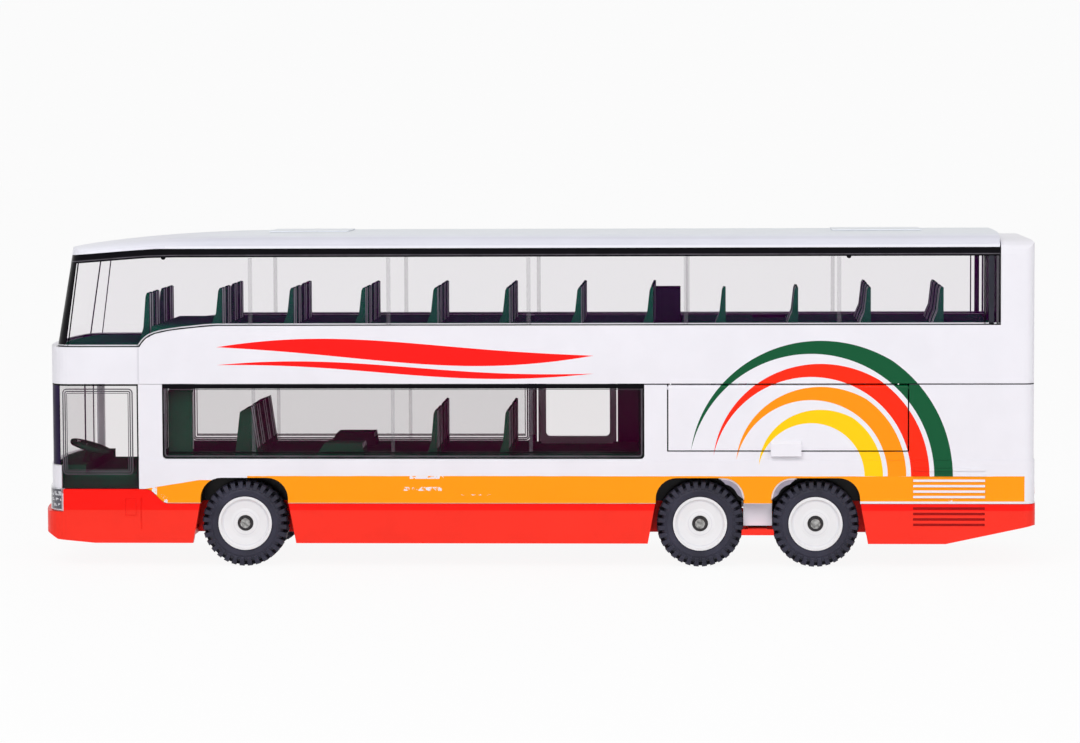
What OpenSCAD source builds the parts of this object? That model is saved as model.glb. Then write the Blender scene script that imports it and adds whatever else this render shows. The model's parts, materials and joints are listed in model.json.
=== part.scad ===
// Die-cast toy double-decker coach, about 1:55.
// Millimetres. +X is forward, +Y is the coach's left side, +Z is up.
// The origin is on the floor, under the middle of the coach's box.

/* [Body] */
// Overall length, over both bumpers
body_len = 218; // [190:1:262]
// Overall width, over the lower sides
body_w = 46; // [39:0.5:56]
// Thickness of the die-cast walls
wall = 1.4; // [1.1:0.1:1.7]
// How far the front bulges ahead of its corners
front_bulge = 2.8; // [1.5:0.1:4]
// Radius of the front corners
front_corner = 5; // [3:0.5:6]
// Radius of the rear corners
rear_corner = 2.6; // [2:0.2:4]
// How far the lower sides stand proud of the sides above them
belt_step = 0.2; // [0.1:0.05:0.4]

/* [Levels] */
// Lower edge of the red skirts
skirt_z = 5.2; // [4:0.1:6]
// Joint between the skirts and the lower sides
rub_z = 13.9; // [13:0.1:15]
// Top of the front bumper
bumper_z = 12.1; // [11:0.1:13]
// Sill of the driver's window and of the front door
cab_sill_z = 17; // [16:0.5:18]
// Sill of the windscreen of the lower deck
screen_z = 22.1; // [21:0.1:23]
// Sill of the lower side windows
low_sill_z = 23.6; // [22.6:0.1:24.6]
// Joint between the lower and the upper casting
seam_z = 40; // [38:0.2:42]
// Height of the upper side windows' sill above the seam
up_sill_h = 12.6; // [11:0.2:14]
// How much lower the sill is under the front windscreen
sill_drop = 4.6; // [3:0.2:6]
// Height of the upper windows
up_window_h = 16.8; // [14:0.1:20]
// Height of the roof above the windows
roof_h = 3.1; // [2.5:0.1:4]
// How much lower the closed block at the back is than the roof
tail_drop = 1.3; // [0.8:0.1:2]
// How far the back leans forward from the bumper to its top
rear_rake = 0.8; // [0.8:0.1:2]

/* [Wheels] */
// Tyre diameter
tyre_d = 18.8; // [16:0.2:22.4]
// Tyre width
tyre_w = 5.4; // [4.5:0.1:6.4]
// Diameter of the rim inside the tyre
rim_d = 11.7; // [10:0.1:13]
// Axle diameter
axle_d = 1.8; // [1.5:0.1:2.2]
// Diameter of the riveted axle end
axle_head_d = 2.6; // [2.4:0.1:3.2]
// Front axle, back from the front bumper
front_axle_x = 45.8; // [43:0.2:52]
// Driven rear axle, ahead of the rear bumper
rear_axle_x = 73; // [68:0.5:80]
// Trailing rear axle, ahead of the rear bumper
tag_axle_x = 48; // [45:0.5:49]
// Gap between a tyre and its wheel arch
arch_gap = 0.7; // [0.5:0.1:1.2]

/* [Openings] */
// Rear edge of the driver's window and the front door, back from the front
cab_end_x = 22.8; // [20:0.2:24]
// Front edge of the lower side windows, back from the front
low_win_x = 28; // [26:0.2:30]
// Rear edge of the left lower side window, ahead of the rear
low_win_end_x = 85; // [83:0.5:90]
// Luggage flap, its rear edge ahead of the rear
flap_end_x = 27.9; // [25:0.2:30]
// Luggage flap, its length
flap_len = 52.2; // [45:0.5:54]
// Luggage flap, its lower edge
flap_z = 25.2; // [24.6:0.1:27]
// Middle door, its rear edge ahead of the rear
mid_door_x = 92; // [90:0.5:95]
// Middle door, its width
mid_door_w = 18.5; // [14:0.5:21]
// Depth of the closed block behind the upper windows
tail_len = 8.15; // [6:0.1:10]

/* [Seats] */
// Distance between the rows of seats
row_pitch = 15.7; // [12:0.1:19]
// Height of a seat back on the upper deck
seat_h = 8.3; // [6.5:0.1:10]
// Height of a seat back on the lower deck
low_seat_h = 10.4; // [8:0.1:12]
// Width of one seat
seat_w = 6.3; // [5:0.1:7.5]

/* [Hidden] */

// Clearances
fit = 0.05;        // between pieces that are fitted together
seam = 0.12;       // between the lower and the upper casting
gap = 0.3;         // round a door or a flap
run = 0.05;        // between an axle and a hub that turns on it
far = 200;         // further than anything reaches

// Main derived sizes
hw = body_w / 2;
front_x = body_len / 2;
rear_x = -body_len / 2;
shell_front = front_x - 1.2;       // front of the castings, behind the bumper
shell_rear = rear_x + 0.15;        // rear of the castings, ahead of the bumper
tyre_r = tyre_d / 2;
axle_z = tyre_r;
up_sill_z = seam_z + up_sill_h;
glass_top_z = up_sill_z + up_window_h;
roof_z = glass_top_z + roof_h;
tail_z = roof_z - tail_drop;
tail_front = shell_rear + tail_len;
glass_t = 1.1;                     // thickness of the clear pieces
deck_t = 1.4;                      // thickness of the moulded floors
rear_bulge = 0.8;

// Places along the coach: from the front bumper, and from the rear one
function from_front(d) = front_x - d;
function from_rear(d) = rear_x + d;

axles = [from_front(front_axle_x), from_rear(rear_axle_x), from_rear(tag_axle_x)];
cab_end = from_front(cab_end_x);
cab_front = from_front(5.7);         // rear edge of the front panel and the windscreen's corner
low_win_front = from_front(low_win_x);
low_win_end = from_rear(low_win_end_x);
flap_rear = from_rear(flap_end_x);
flap_front = flap_rear + flap_len;
mid_rear = from_rear(mid_door_x);
mid_front = mid_rear + mid_door_w;
post_w = 1.6;                      // narrow post ahead of the middle door

// Wheel arches
arch_half = tyre_r + arch_gap - 0.5;
arch_top = axle_z + tyre_r + arch_gap;
glass_sill_z = max(low_sill_z, arch_top + 1.4);   // lower side windows stay above the tubs
arch_r = 4.6;
skirt_flare = 1.9;                 // how much wider the skirt's arch is at its lower edge
tub_wall = 1;
tub_y = hw - tyre_w - 1.3;         // inner face of the wheel tubs

// ---------- Outlines ----------

function arc(cx, cy, r, a0, a1, n) =
  [for (i = [0 : n]) let (a = a0 + (a1 - a0) * i / n) [cx + r * cos(a), cy + r * sin(a)]];

// One end of the coach in plan, pointing along +X: corner, bulged face, corner
function end_points(tip, half, bulge, corner, inset) =
  let (big = (half * half + bulge * bulge) / (2 * bulge),
       cx = tip - big,
       cy = half - corner,
       xc = cx + sqrt(pow(big - corner, 2) - cy * cy),
       turn = atan2(cy, xc - cx))
  concat(
    arc(xc, -cy, corner - inset, -90, -turn, 8),
    [for (i = [1 : 11]) let (a = -turn + 2 * turn * i / 12)
      [cx + (big - inset) * cos(a), (big - inset) * sin(a)]],
    arc(xc, cy, corner - inset, turn, 90, 8));

// The whole plan outline, set in by a distance
function plan(tip, tail, inset) = concat(
  end_points(tip, hw, front_bulge, front_corner, inset),
  [for (p = end_points(-tail, hw, rear_bulge, rear_corner, inset)) [-p[0], -p[1]]]);

// Arch opening in side view, with round top corners
function arch_points(x, half, top, bottom, r) = concat(
  [[x + half, bottom]],
  arc(x + half - r, top - r, r, 0, 90, 8),
  arc(x - half + r, top - r, r, 90, 180, 8),
  [[x - half, bottom]]);

// ---------- Helpers ----------

// Extrudes a side view, drawn in X and Z, from y0 to y1
module along_y(y0, y1) {
  translate([0, y1, 0]) rotate([90, 0, 0]) linear_extrude(y1 - y0) children();
}

// Extrudes a front view, drawn in Y and Z, from x0 to x1
module along_x(x0, x1) {
  translate([x0, 0, 0]) rotate([90, 0, 90]) linear_extrude(x1 - x0) children();
}

module box(x0, x1, y0, y1, z0, z1) {
  translate([x0, y0, z0]) cube([x1 - x0, y1 - y0, z1 - z0]);
}

module slab(z0, z1) {
  translate([0, 0, z0]) linear_extrude(z1 - z0) children();
}

module both_sides() {
  children();
  mirror([0, 1, 0]) children();
}

// Castings' plan outline as a solid between two levels
module body_slab(inset, z0, z1) {
  slab(z0, z1) polygon(plan(shell_front, shell_rear, inset));
}

// Plan outline of the upper deck's glass and roof, which lean back at the front
lean = 9.8;
lean_back = 1.3;                   // how far its foot stands back from the band below
module leaning_slab(inset) {
  translate([shell_front - lean_back - shell_front / cos(lean), 0, up_sill_z - sill_drop])
    rotate([0, -lean, 0]) translate([0, 0, -30])
      linear_extrude(90) polygon(plan(shell_front, shell_rear - 20, inset));
}

// Trims the castings' back to its forward lean, with a rounded upper edge
module raked(inset) {
  x0 = shell_rear + inset;
  x1 = x0 + rear_rake;
  intersection() {
    children();
    along_y(-far, far) polygon(concat(
      [[far, 0], [x0, 0], [x0, rub_z]],
      arc(x1 + 1.6, tail_z - inset - 1.8, 1.7, 180, 90, 8),
      [[far, tail_z - inset]]));
  }
}

// ---------- Side profiles ----------

// Top edge of the upper casting: low under the windscreen, rising in a curve to the side sill
drop_start = from_front(23.2);     // foot of the curve
function sill_line(lift) = [
  [tail_front, up_sill_z + lift],
  [drop_start - 17, up_sill_z + lift],
  [drop_start - 11.5, up_sill_z - 0.45 + lift],
  [drop_start - 6.5, up_sill_z - 1.05 + lift],
  [drop_start - 3.3, up_sill_z - 1.75 + lift],
  [drop_start - 1.4, up_sill_z - 2.75 + lift],
  [drop_start - 0.4, up_sill_z - sill_drop + 0.7 + lift],
  [drop_start, up_sill_z - sill_drop + lift],
  [far, up_sill_z - sill_drop + lift]];

// Top edge of the upper windows: level, then dropping towards the front
function head_line(lift) = concat(
  [[far, glass_top_z - edge_drop(2) + lift]],
  [for (d = roof_stations) [from_front(d), glass_top_z - edge_drop(d) + lift]],
  [[-far, glass_top_z + lift]]);

// Lower edge of the lower casting, which is the upper edge of the red skirts
nose_x = from_front(6.1);
rub_end = from_front(29);
rub_start = from_front(24.4);
function rub_line(lift) = concat(
  [[-far, rub_z + lift], [rub_end, rub_z + lift]],
  [for (i = [1 : 5]) let (t = i / 6)
    [rub_end + (rub_start - rub_end) * t,
     rub_z + (cab_sill_z - rub_z) * (1 - cos(180 * t)) / 2 + lift]],
  [[rub_start, cab_sill_z + lift], [nose_x, cab_sill_z + lift],
   [nose_x, bumper_z + lift], [far, bumper_z + lift]]);

// ---------- Castings ----------

// Vents behind the rear wheels: raised ribs on the casting, slots in the red skirt
vent_pitch = 1.18;
vent_front = from_rear(27);
vent_rear = from_rear(11.6);
module vent_lines(z0, count, face, depth, height) {
  for (i = [0 : count - 1])
    box(vent_rear, vent_front, face, face + depth, z0 + i * vent_pitch, z0 + i * vent_pitch + height);
}

// Side view of a lower window: open at the top, with round lower corners
function window_points(x0, x1, z0, top, r) = concat(
  [[x1, top], [x0, top]],
  arc(x0 + r, z0 + r, r, 180, 270, 4),
  arc(x1 - r, z0 + r, r, 270, 360, 4));

window_r = 0.8;
module window_cut(x0, x1, z0, y0, y1) {
  along_y(y0, y1) polygon(window_points(x0, x1, z0, seam_z + 5, window_r));
}

// Wheel tub behind an arch, on the left
module tub(x, grow) {
  difference() {
    along_y(tub_y - tub_wall - grow, hw - wall / 2)
      polygon(arch_points(x, arch_half + tub_wall + grow, arch_top + tub_wall + grow,
        rub_z, arch_r + tub_wall + grow));
    if (grow == 0)
      along_y(tub_y, hw + 1)
        polygon(arch_points(x, arch_half, arch_top, rub_z - 1, arch_r));
  }
}

rear_panel_front = (axles[1] - arch_half);
rear_panel_back = (axles[2] + arch_half);

module lower_shell() {
  color("white") {
    difference() {
      raked(0) union() {
        body_slab(0, bumper_z, low_sill_z - 0.3);
        body_slab(belt_step, low_sill_z - 0.3, seam_z - seam);
      }
      raked(wall) body_slab(wall, 0, seam_z + 1);
      // sockets for the flaps' pins
      both_sides() for (x = [flap_rear - pin_len - 0.2, flap_front - 0.1])
        translate([x, hinge_y, flap_hinge_z]) rotate([0, 90, 0])
          cylinder(r = pin_r + run, h = pin_len + 0.3, $fn = 48);
      // everything under the rub line
      along_y(-far, far) polygon(concat(rub_line(fit), [[far, -far], [-far, -far]]));
      // front windscreen, driver's window and front door in one wrap-round cut
      box(cab_front - 8, far, -hw + 3, hw - 3, screen_z, far);
      both_sides() along_y(hw - 8, far) polygon([
        [cab_end, cab_sill_z - 1], [cab_front, cab_sill_z - 1], [cab_front, screen_z],
        [far, screen_z], [far, far], [cab_end, far]]);
      // side windows
      window_cut(low_win_end, low_win_front, glass_sill_z, hw - 4, far);
      window_cut(mid_front + post_w, low_win_front, glass_sill_z, -far, -hw + 4);
      // middle door
      box(mid_rear, mid_front, -far, -hw + 4, 0, far);
      // luggage flaps
      both_sides() box(flap_rear, flap_front, hw - 4, far, flap_z, far);
      both_sides() {
        for (x = axles)
          along_y(hw - 4, far) polygon(arch_points(x, arch_half, arch_top, 0, arch_r));
      }
      // pocket of the rear number plate
      box(-far, shell_rear + 0.9 + fit, -6.5 - fit, 6.5 + fit, plate_low - fit, plate_low + 3 + fit);
      // engine lid joints on the back
      for (z = [rub_z + 3, seam_z - 7])
        box(-far, shell_rear + 0.7, -hw + 8, hw - 8, z, z + 0.35);
      for (s = [-1, 1])
        box(-far, shell_rear + 0.7, s * (hw - 8) - 0.18, s * (hw - 8) + 0.18, rub_z + 3, seam_z - 6.65);
      for (i = [0 : 4])
        box(-far, shell_rear + 0.7, -hw + 11, hw - 11, rub_z + 6 + i * 1.6, rub_z + 6.7 + i * 1.6);
    }
    both_sides() {
      for (x = axles) tub(x, 0);
      vent_lines(rub_z + 1.3, 6, hw - 0.1, 0.35, 0.5);
      // sill inside the cab's sides, which joins the front panel to the posts
      box(cab_end - 1.5, cab_front + 1.1, hw - wall - 1.6, hw - wall - 0.1, cab_sill_z - 2.4, cab_sill_z);
      box(cab_end - 1.5, cab_end - 0.3, hw - wall - 1.6, hw - wall - 0.1, cab_sill_z - 1.4, cab_sill_z + 2);
      box(cab_end - 1.5, cab_end - 0.3, hw - wall - 0.4, hw - wall / 2, cab_sill_z + fit, cab_sill_z + 2);
      box(cab_front + 0.4, cab_front + 1.1, hw - wall - 1.6, hw - wall - 0.6, cab_sill_z - 2.4, cab_sill_z + 4);
      // panel between the two rear wheels
      box(rear_panel_back - 0.2, rear_panel_front + 0.2, hw - 4.4, hw - 3.4, skirt_z + 3.6, rub_z + 1);
      box(rear_panel_back - 0.2, rear_panel_front + 0.2, hw - 4.4, hw - wall / 2, rub_z + fit, rub_z + 1);
    }
  }
}

// Front view of the closed block at the back, set in by a distance
function tail_section(inset) = let (h = hw - belt_step - inset)
  concat([[-h, 0]], crown(h, glass_top_z - 1.6, tail_z - inset), [[h, 0]]);

module upper_shell() {
  color("white") difference() {
    raked(0) intersection() {
      body_slab(belt_step, seam_z, far);
      along_x(-far, far) polygon(tail_section(0));
    }
    raked(wall) intersection() {
      body_slab(wall + belt_step, 0, far);
      along_x(-far, far) polygon(tail_section(wall));
    }
    // open above the sill, ahead of the tail block
    along_y(-far, far) polygon(concat([[tail_front, far]], sill_line(0), [[far, far]]));
    // rear window
    box(-far, shell_rear + rear_rake + wall + 1.5, -hw + 6, hw - 6, up_sill_z + 3.5, glass_top_z - 3);
    // vertical joint between the front band and the sides
    both_sides() box(drop_start + 0.3, drop_start + 0.55, hw - belt_step - 0.15, far, seam_z + 0.8, far);
    // sockets for the door pins
    for (x = [front_hinge_x, mid_hinge_x])
      translate([x, -hinge_y, seam_z - 1]) cylinder(r = pin_r + run, h = 1.2 + pin_len, $fn = 48);
  }
}

// Front view of a roof of a given half width: lower edge, round shoulders and crown
function crown(half, edge, top) = let (q = [
    [1, 0], [0.995, 0.32], [0.965, 0.58], [0.915, 0.78], [0.84, 0.9], [0.6, 0.965], [0.3, 0.99]])
  concat(
    [for (p = q) [-p[0] * half, edge + p[1] * (top - edge)]],
    [[0, top]],
    [for (i = [len(q) - 1 : -1 : 0]) [q[i][0] * half, edge + q[i][1] * (top - edge)]]);

// Cross-section of the roof at one place along the coach
function roof_points(x, edge, top, inset) =
  [for (p = crown(hw - belt_step - inset, edge, top - inset)) [x, p[0], p[1]]];

// Drop of the roof's lower edge and of its crown towards the front, at a distance from the front
function edge_drop(d) = d < 27 ? 2.1 * pow(1 - d / 27, 1.1) : 0;
function crown_drop(d) = d < 60 ? 4.1 * pow(1 - d / 60, 2.5) : 0;
roof_stations = [2, 4, 6, 8, 11, 14, 18, 22, 27, 33, 41, 50, 60];

module loft(sections) {
  n = len(sections[0]);
  m = len(sections);
  polyhedron(
    points = [for (s = sections) for (p = s) p],
    faces = concat(
      [[for (i = [0 : n - 1]) i]],
      [for (j = [0 : m - 2]) for (i = [0 : n - 1]) let (k = (i + 1) % n)
        [j * n + i, (j + 1) * n + i, (j + 1) * n + k]],
      [for (j = [0 : m - 2]) for (i = [0 : n - 1]) let (k = (i + 1) % n)
        [j * n + i, (j + 1) * n + k, j * n + k]],
      [[for (i = [n - 1 : -1 : 0]) (m - 1) * n + i]]));
}

module roof_form(inset, drop) {
  loft(concat(
    [for (s = roof_stations)
      roof_points(from_front(s), glass_top_z - edge_drop(s) - drop, roof_z - crown_drop(s), inset)],
    [roof_points(tail_front + 0.3 + inset, glass_top_z - drop, roof_z, inset)]));
}

module roof() {
  color("white") difference() {
    intersection() {
      roof_form(0, 0);
      leaning_slab(belt_step);
    }
    intersection() {
      roof_form(wall, 1);
      leaning_slab(belt_step + wall);
    }
  }
}

// Two raised hatches along the middle of the roof
hatch_h = 0.25;
hatch_w = 15;
hatches = [
  // rear edge, length
  [from_front(67.5), 17.5],
  [from_rear(24.5), 19.6]];
module roof_hatches() {
  color("white") for (h = hatches) difference() {
    box(h[0], h[0] + h[1], -hatch_w / 2, hatch_w / 2, roof_z - 0.9, roof_z + hatch_h);
    roof_form(-fit, 0.5);
  }
}

// ---------- Clear pieces ----------

module upper_glazing() {
  color("gray", 0.4) difference() {
    intersection() {
      leaning_slab(belt_step + 0.1);
      along_y(-far, far) polygon(concat(sill_line(fit), head_line(-fit)));
      box(tail_front + fit, far, -far, far, 0, far);
    }
    difference() {
      leaning_slab(belt_step + 0.1 + glass_t);
      box(-far, tail_front + fit + glass_t, -far, far, 0, far);
    }
  }
}

// Windscreen of the lower deck; it wraps round to the driver's window on the left
module lower_windscreen() {
  color("gray", 0.4) difference() {
    body_slab(belt_step + 0.1, cab_sill_z + fit, seam_z - fit);
    body_slab(belt_step + 0.1 + glass_t, 0, far);
    box(-far, cab_end + fit, -far, far, 0, far);
    // the right side stops at the front door
    box(-far, cab_front - fit, -far, 0, 0, far);
    // under the screen, the front panel is solid
    box(cab_front - fit, far, -far, far, 0, screen_z + fit);
    box(cab_front - 20, far, -hw + 6, hw - 6, 0, screen_z + fit);
  }
}

module side_glass(x0, x1) {
  along_y(hw - belt_step - 0.1 - glass_t, hw - belt_step - 0.1)
    polygon(window_points(x0 + fit, x1 - fit, glass_sill_z + fit, seam_z - fit, window_r - fit));
}

module left_side_glass() {
  color("gray", 0.4) side_glass(low_win_end, low_win_front);
}

module right_side_glass() {
  color("gray", 0.4) mirror([0, 1, 0]) side_glass(mid_front + post_w, low_win_front);
}

module rear_window() {
  color("gray", 0.4) intersection() {
    difference() {
      raked(0.2) body_slab(belt_step + 0.1, 0, tail_z);
      raked(0.2 + glass_t) body_slab(belt_step + 0.1 + glass_t, -1, tail_z + 1);
    }
    box(-far, shell_rear + 6, -hw + 6 + fit, hw - 6 - fit, up_sill_z + 3.5 + fit, glass_top_z - 3 - fit);
  }
}

// ---------- Interior mouldings ----------

// Side view of a seat back; its rear face is at x = 0 and it faces +X
function seat_profile(h) = [
  [0, 0], [2.4, 0], [2, 0.16 * h], [1.35, 0.34 * h], [0.8, 0.93 * h], [0.5, h], [0, 0.985 * h]];

// Near faces of the four seats of a row, from the left
seat_gap = 2.4;
seat_out = hw - 4.9;
seat_places = [seat_out - seat_w, seat_out - 2 * seat_w - seat_gap,
  -seat_out + seat_w + seat_gap, -seat_out];

module seat_row(x, z, h, places) {
  for (y = places)
    along_y(y, y + seat_w) polygon([for (p = seat_profile(h)) [x + p[0], z + p[1]]]);
}

deck_side = hw - wall - belt_step - 0.2;
first_row = from_front(40.7);
deck_rows = floor((first_row - (tail_front + 9)) / row_pitch);
up_floor_z = up_sill_z - 0.2;
front_floor_z = up_sill_z - sill_drop + 0.1;
stair_front = from_rear(61.3);
stair_rear = from_rear(53.8);
box_front = from_rear(82.6);
box_rear = from_rear(77.3);

module upper_deck() {
  color([0.02, 0.2, 0.15]) {
    difference() {
      union() {
        // main floor
        box(tail_front + glass_t + 0.2, drop_start - 2.4, -deck_side, deck_side,
          up_floor_z - deck_t, up_floor_z);
        // lower floor at the front, following the windscreen
        intersection() {
          leaning_slab(belt_step + 0.1 + glass_t + 0.3);
          body_slab(wall + belt_step + 0.2, front_floor_z - deck_t, front_floor_z);
          box(drop_start - 4, far, -far, far, 0, far);
        }
        box(drop_start - 4, drop_start - 2.4, -deck_side, deck_side, front_floor_z - deck_t, up_floor_z);
      }
      // stairwell on the right
      box(stair_rear, stair_front, -far, -hw + 12, 0, far);
    }
    for (i = [0 : deck_rows])
      seat_row(first_row - i * row_pitch, up_floor_z - 0.1, seat_h,
        i == 7 ? [seat_places[0]] : i == 8 ? [seat_places[0], seat_places[1]] : seat_places);
    seat_row(drop_start - 1.5, front_floor_z - 0.1, seat_h + 3.3, seat_places);
    // casing beside the stairs
    box(box_rear, box_front, hw - 16, hw - 5.4, up_floor_z - 0.1, up_floor_z + seat_h - 0.3);
  }
}

low_floor_z = low_sill_z - 0.1;
dash_x = from_front(10.6);
cab_floor_z = cab_sill_z + 3.1;
dash_z = cab_sill_z + 5;
cab_side = hw - wall - 1.8;
cab_inset = max(wall, belt_step + 0.1 + glass_t) + 0.25;
table_front = from_front(60.8);
table_len = 10.8;
table_h = 3;

module lower_deck() {
  color([0.02, 0.2, 0.15]) difference() {
    union() {
      // saloon and luggage floor
      box(shell_rear + wall + 1, low_win_front + 3, -deck_side, deck_side, low_floor_z - deck_t, low_floor_z);
      // cab floor and dashboard
      intersection() {
        body_slab(cab_inset, cab_sill_z - 2.4, dash_z);
        union() {
          box(low_win_front + 1, far, -cab_side, cab_side, cab_sill_z - 2.4, cab_floor_z);
          box(dash_x, far, -cab_side, cab_side, cab_sill_z + 0.2, dash_z);
        }
      }
      box(low_win_front + 1, low_win_front + 3, -deck_side, deck_side, cab_sill_z - 0.2, low_floor_z);
      // rows: two at the back of the saloon, a back-to-back pair at the front
      seat_row(from_rear(114.6), low_floor_z - 0.1, low_seat_h, seat_places);
      seat_row(from_rear(114.6) + row_pitch, low_floor_z - 0.1, low_seat_h, seat_places);
      for (y = seat_places) along_y(y, y + seat_w) polygon([
        [from_front(48.4), low_floor_z - 0.1], [from_front(43.2), low_floor_z - 0.1],
        [from_front(44.4), low_floor_z + 0.96 * low_seat_h], [from_front(46.8), low_floor_z + 1.05 * low_seat_h]]);
      // driver's seat
      along_y(hw - 14, hw - 6) polygon([for (p = seat_profile(low_seat_h + 2))
        [from_front(26.6) + p[0] * 1.4, cab_floor_z - 0.1 + p[1]]]);
      // tables
      for (y = [hw - 13.5, -hw + 5.5])
        along_y(y, y + 8) polygon([
          [table_front - table_len, low_floor_z - 0.1], [table_front, low_floor_z - 0.1],
          [table_front - 2, low_floor_z + table_h], [table_front - table_len + 0.4, low_floor_z + table_h]]);
      // cupboard behind the driver
      box(from_front(34.3), from_front(29), hw - 4.2, deck_side - 0.6, low_floor_z - 0.1, seam_z - 1.6);
      // bulkhead between the saloon and the luggage bay
      box(low_win_end - 1.8, low_win_end - 0.6, -deck_side, deck_side, low_floor_z - 0.1, seam_z - 0.6);
      box(flap_rear - 1.6, flap_rear - 0.4, -deck_side, deck_side, low_floor_z - 0.1, seam_z - 0.6);
    }
    // room for the wheel tubs
    both_sides() for (x = axles) tub(x, 0.2);
    // stairwell of the middle door
    box(mid_rear + 1, mid_front - 1, -far, -hw + 7, 0, low_floor_z + 1);
  }
  color([0.02, 0.2, 0.15]) {
    rivet_post(rivet_x[0], cab_sill_z - 2.3);
    for (x = [rivet_x[1], rivet_x[2]]) rivet_post(x, low_floor_z - deck_t + 0.1);
  }
}

// Steering wheel, on a column from the dashboard
wheel_tilt = 17;
steer_x = from_front(10.4);
steer_y = hw - 11;
steer_z = cab_sill_z + 8.3;
steer_r = 4.7;
module steering_wheel() {
  color([0.02, 0.2, 0.15]) translate([steer_x, steer_y, steer_z]) rotate([0, -wheel_tilt, 0]) {
    rotate_extrude($fn = 64) translate([steer_r - 0.6, 0]) circle(r = 0.6, $fn = 24);
    translate([0, 0, -0.6]) cylinder(r = 1.1, h = 1.1, $fn = 32);
    for (a = [90, 210, 330])
      rotate([0, 0, a]) translate([0, -0.4, -0.45]) cube([steer_r - 0.4, 0.8, 0.6]);
    difference() {
      translate([0, 0, -9]) cylinder(r = 0.8, h = 9, $fn = 32);
      rotate([0, wheel_tilt, 0]) box(-far, far, -far, far, -far, dash_z + fit - steer_z);
    }
  }
}

// ---------- Red chassis ----------

plate_z = skirt_z + 1.7;
plate_t = 1.3;
block_w = 3;
block_y = tub_y - tub_wall - 0.6 - block_w / 2;

// Lower edge of the skirts in side view
function skirt_line() = [
  [far, bumper_z], [far, 10.6], [front_x - 0.5, 9.4], [front_x - 1, 7.75], [front_x - 2.9, 7], [front_x - 4.7, 6],
  [from_front(13), skirt_z], [from_rear(20), skirt_z], [from_rear(1.2), skirt_z + 4],
  [-far, skirt_z + 4.3]];

// Wheel opening in the skirts; the rear one takes both rear wheels
module skirt_cut(x_front, x_rear) {
  both_sides() along_y(tub_y - tub_wall - 0.4, far) polygon([
    [x_front + arch_half, rub_z + 5], [x_front + arch_half + 0.1, rub_z],
    [x_front + arch_half + skirt_flare, skirt_z - 1],
    [x_rear - arch_half - skirt_flare, skirt_z - 1],
    [x_rear - arch_half - 0.1, rub_z], [x_rear - arch_half, rub_z + 5]]);
}

module chassis() {
  color("red") difference() {
    union() {
      // skirts and bumpers
      intersection() {
        difference() {
          slab(skirt_z, cab_sill_z - fit) polygon(plan(front_x, rear_x, 0));
          slab(0, far) polygon(plan(front_x, rear_x, wall + 0.1));
        }
        along_y(-far, far) polygon(concat(skirt_line(), [for (p = rub_line(-fit)) p]));
      }
      // floor plate
      difference() {
        slab(plate_z, plate_z + plate_t) polygon(plan(front_x, rear_x, wall));
        box(-far, from_rear(14), -far, far, 0, far);
        both_sides() for (x = axles)
          box(x - arch_half - 0.8, x + arch_half + 0.8, tub_y - tub_wall - 0.4, far, 0, far);
      }
      // sloping plate under the tail
      along_y(-deck_side, deck_side) polygon([
        [from_rear(14), plate_z], [from_rear(14), plate_z + plate_t],
        [from_rear(1), skirt_z + 6.4], [from_rear(1), skirt_z + 4.9]]);
      // axle blocks
      for (x = axles, s = [-1, 1])
        box(x - 2.4, x + 2.4, s * block_y - block_w / 2, s * block_y + block_w / 2,
          plate_z + plate_t - 0.1, axle_z + 2.2);
    }
    // arches in the skirts
    difference() {
      union() {
        skirt_cut(axles[0], axles[0]);
        skirt_cut(axles[1], axles[2]);
      }
      // the floor plate runs out between the rear wheels
      box(rear_panel_back - 0.6, rear_panel_front + 0.6, -hw + wall, hw - wall, plate_z, plate_z + plate_t);
    }
    // axle bores
    for (x = axles) translate([x, hw, axle_z]) rotate([90, 0, 0])
      cylinder(r = axle_d / 2 + 0.02, h = body_w, $fn = 48);
    // sockets for the door pins
    for (d = [[front_hinge_x, cab_sill_z], [mid_hinge_x, rub_z]])
      translate([d[0], -hinge_y, d[1] - pin_len - 0.2]) cylinder(r = pin_r + run, h = pin_len + 1, $fn = 48);
    // vent behind the rear wheels
    both_sides() vent_lines(skirt_z + 3.9, 4, hw - 0.35, 1, 0.55);
    // door lines moulded in the front skirts, and a filler flap
    both_sides() {
      box(cab_end - 0.6, cab_end - 0.3, hw - 0.25, far, skirt_z + 3, cab_sill_z - 2);
      difference() {
        box(cab_end + 0.5, cab_end + 3.1, hw - 0.2, far, rub_z - 2.8, cab_sill_z - 2);
        box(cab_end + 0.8, cab_end + 2.8, hw - 1, far, rub_z - 2.5, cab_sill_z - 2.3);
      }
    }
    // number plate seats
    box(front_x - 1, far, -6.5, 6.5, 7.7, 11.2);
    // rivet holes, sunk for the heads
    for (x = rivet_x) translate([x, 0, 0]) {
      cylinder(r = rivet_r, h = plate_z + plate_t + 2, $fn = 48);
      cylinder(r = rivet_r + 0.7, h = plate_z + 0.55, $fn = 48);
    }
  }
}

rivet_x = [from_front(24), from_rear(94), from_rear(28)];
rivet_r = 1.2;
rivet_len = 4;

module rivets() {
  color("silver") for (x = rivet_x)
    translate([x, 0, plate_z + 0.05]) rotate_extrude($fn = 48) polygon([
      [0, 0.1], [0.6, 0.1], [0.6, 0], [rivet_r + 0.3, 0], [rivet_r + 0.6, 0.2], [rivet_r + 0.6, 0.45],
      [rivet_r - fit, 0.45], [rivet_r - fit, rivet_len], [0, rivet_len]]);
}

// Post under the lower deck, that a rivet holds to the base
module rivet_post(x, top) {
  translate([x, 0, plate_z + plate_t + fit]) difference() {
    cylinder(r = 2.4, h = top - plate_z - plate_t, $fn = 48);
    translate([0, 0, -1]) cylinder(r = rivet_r, h = rivet_len + 1, $fn = 48);
  }
}

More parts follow.
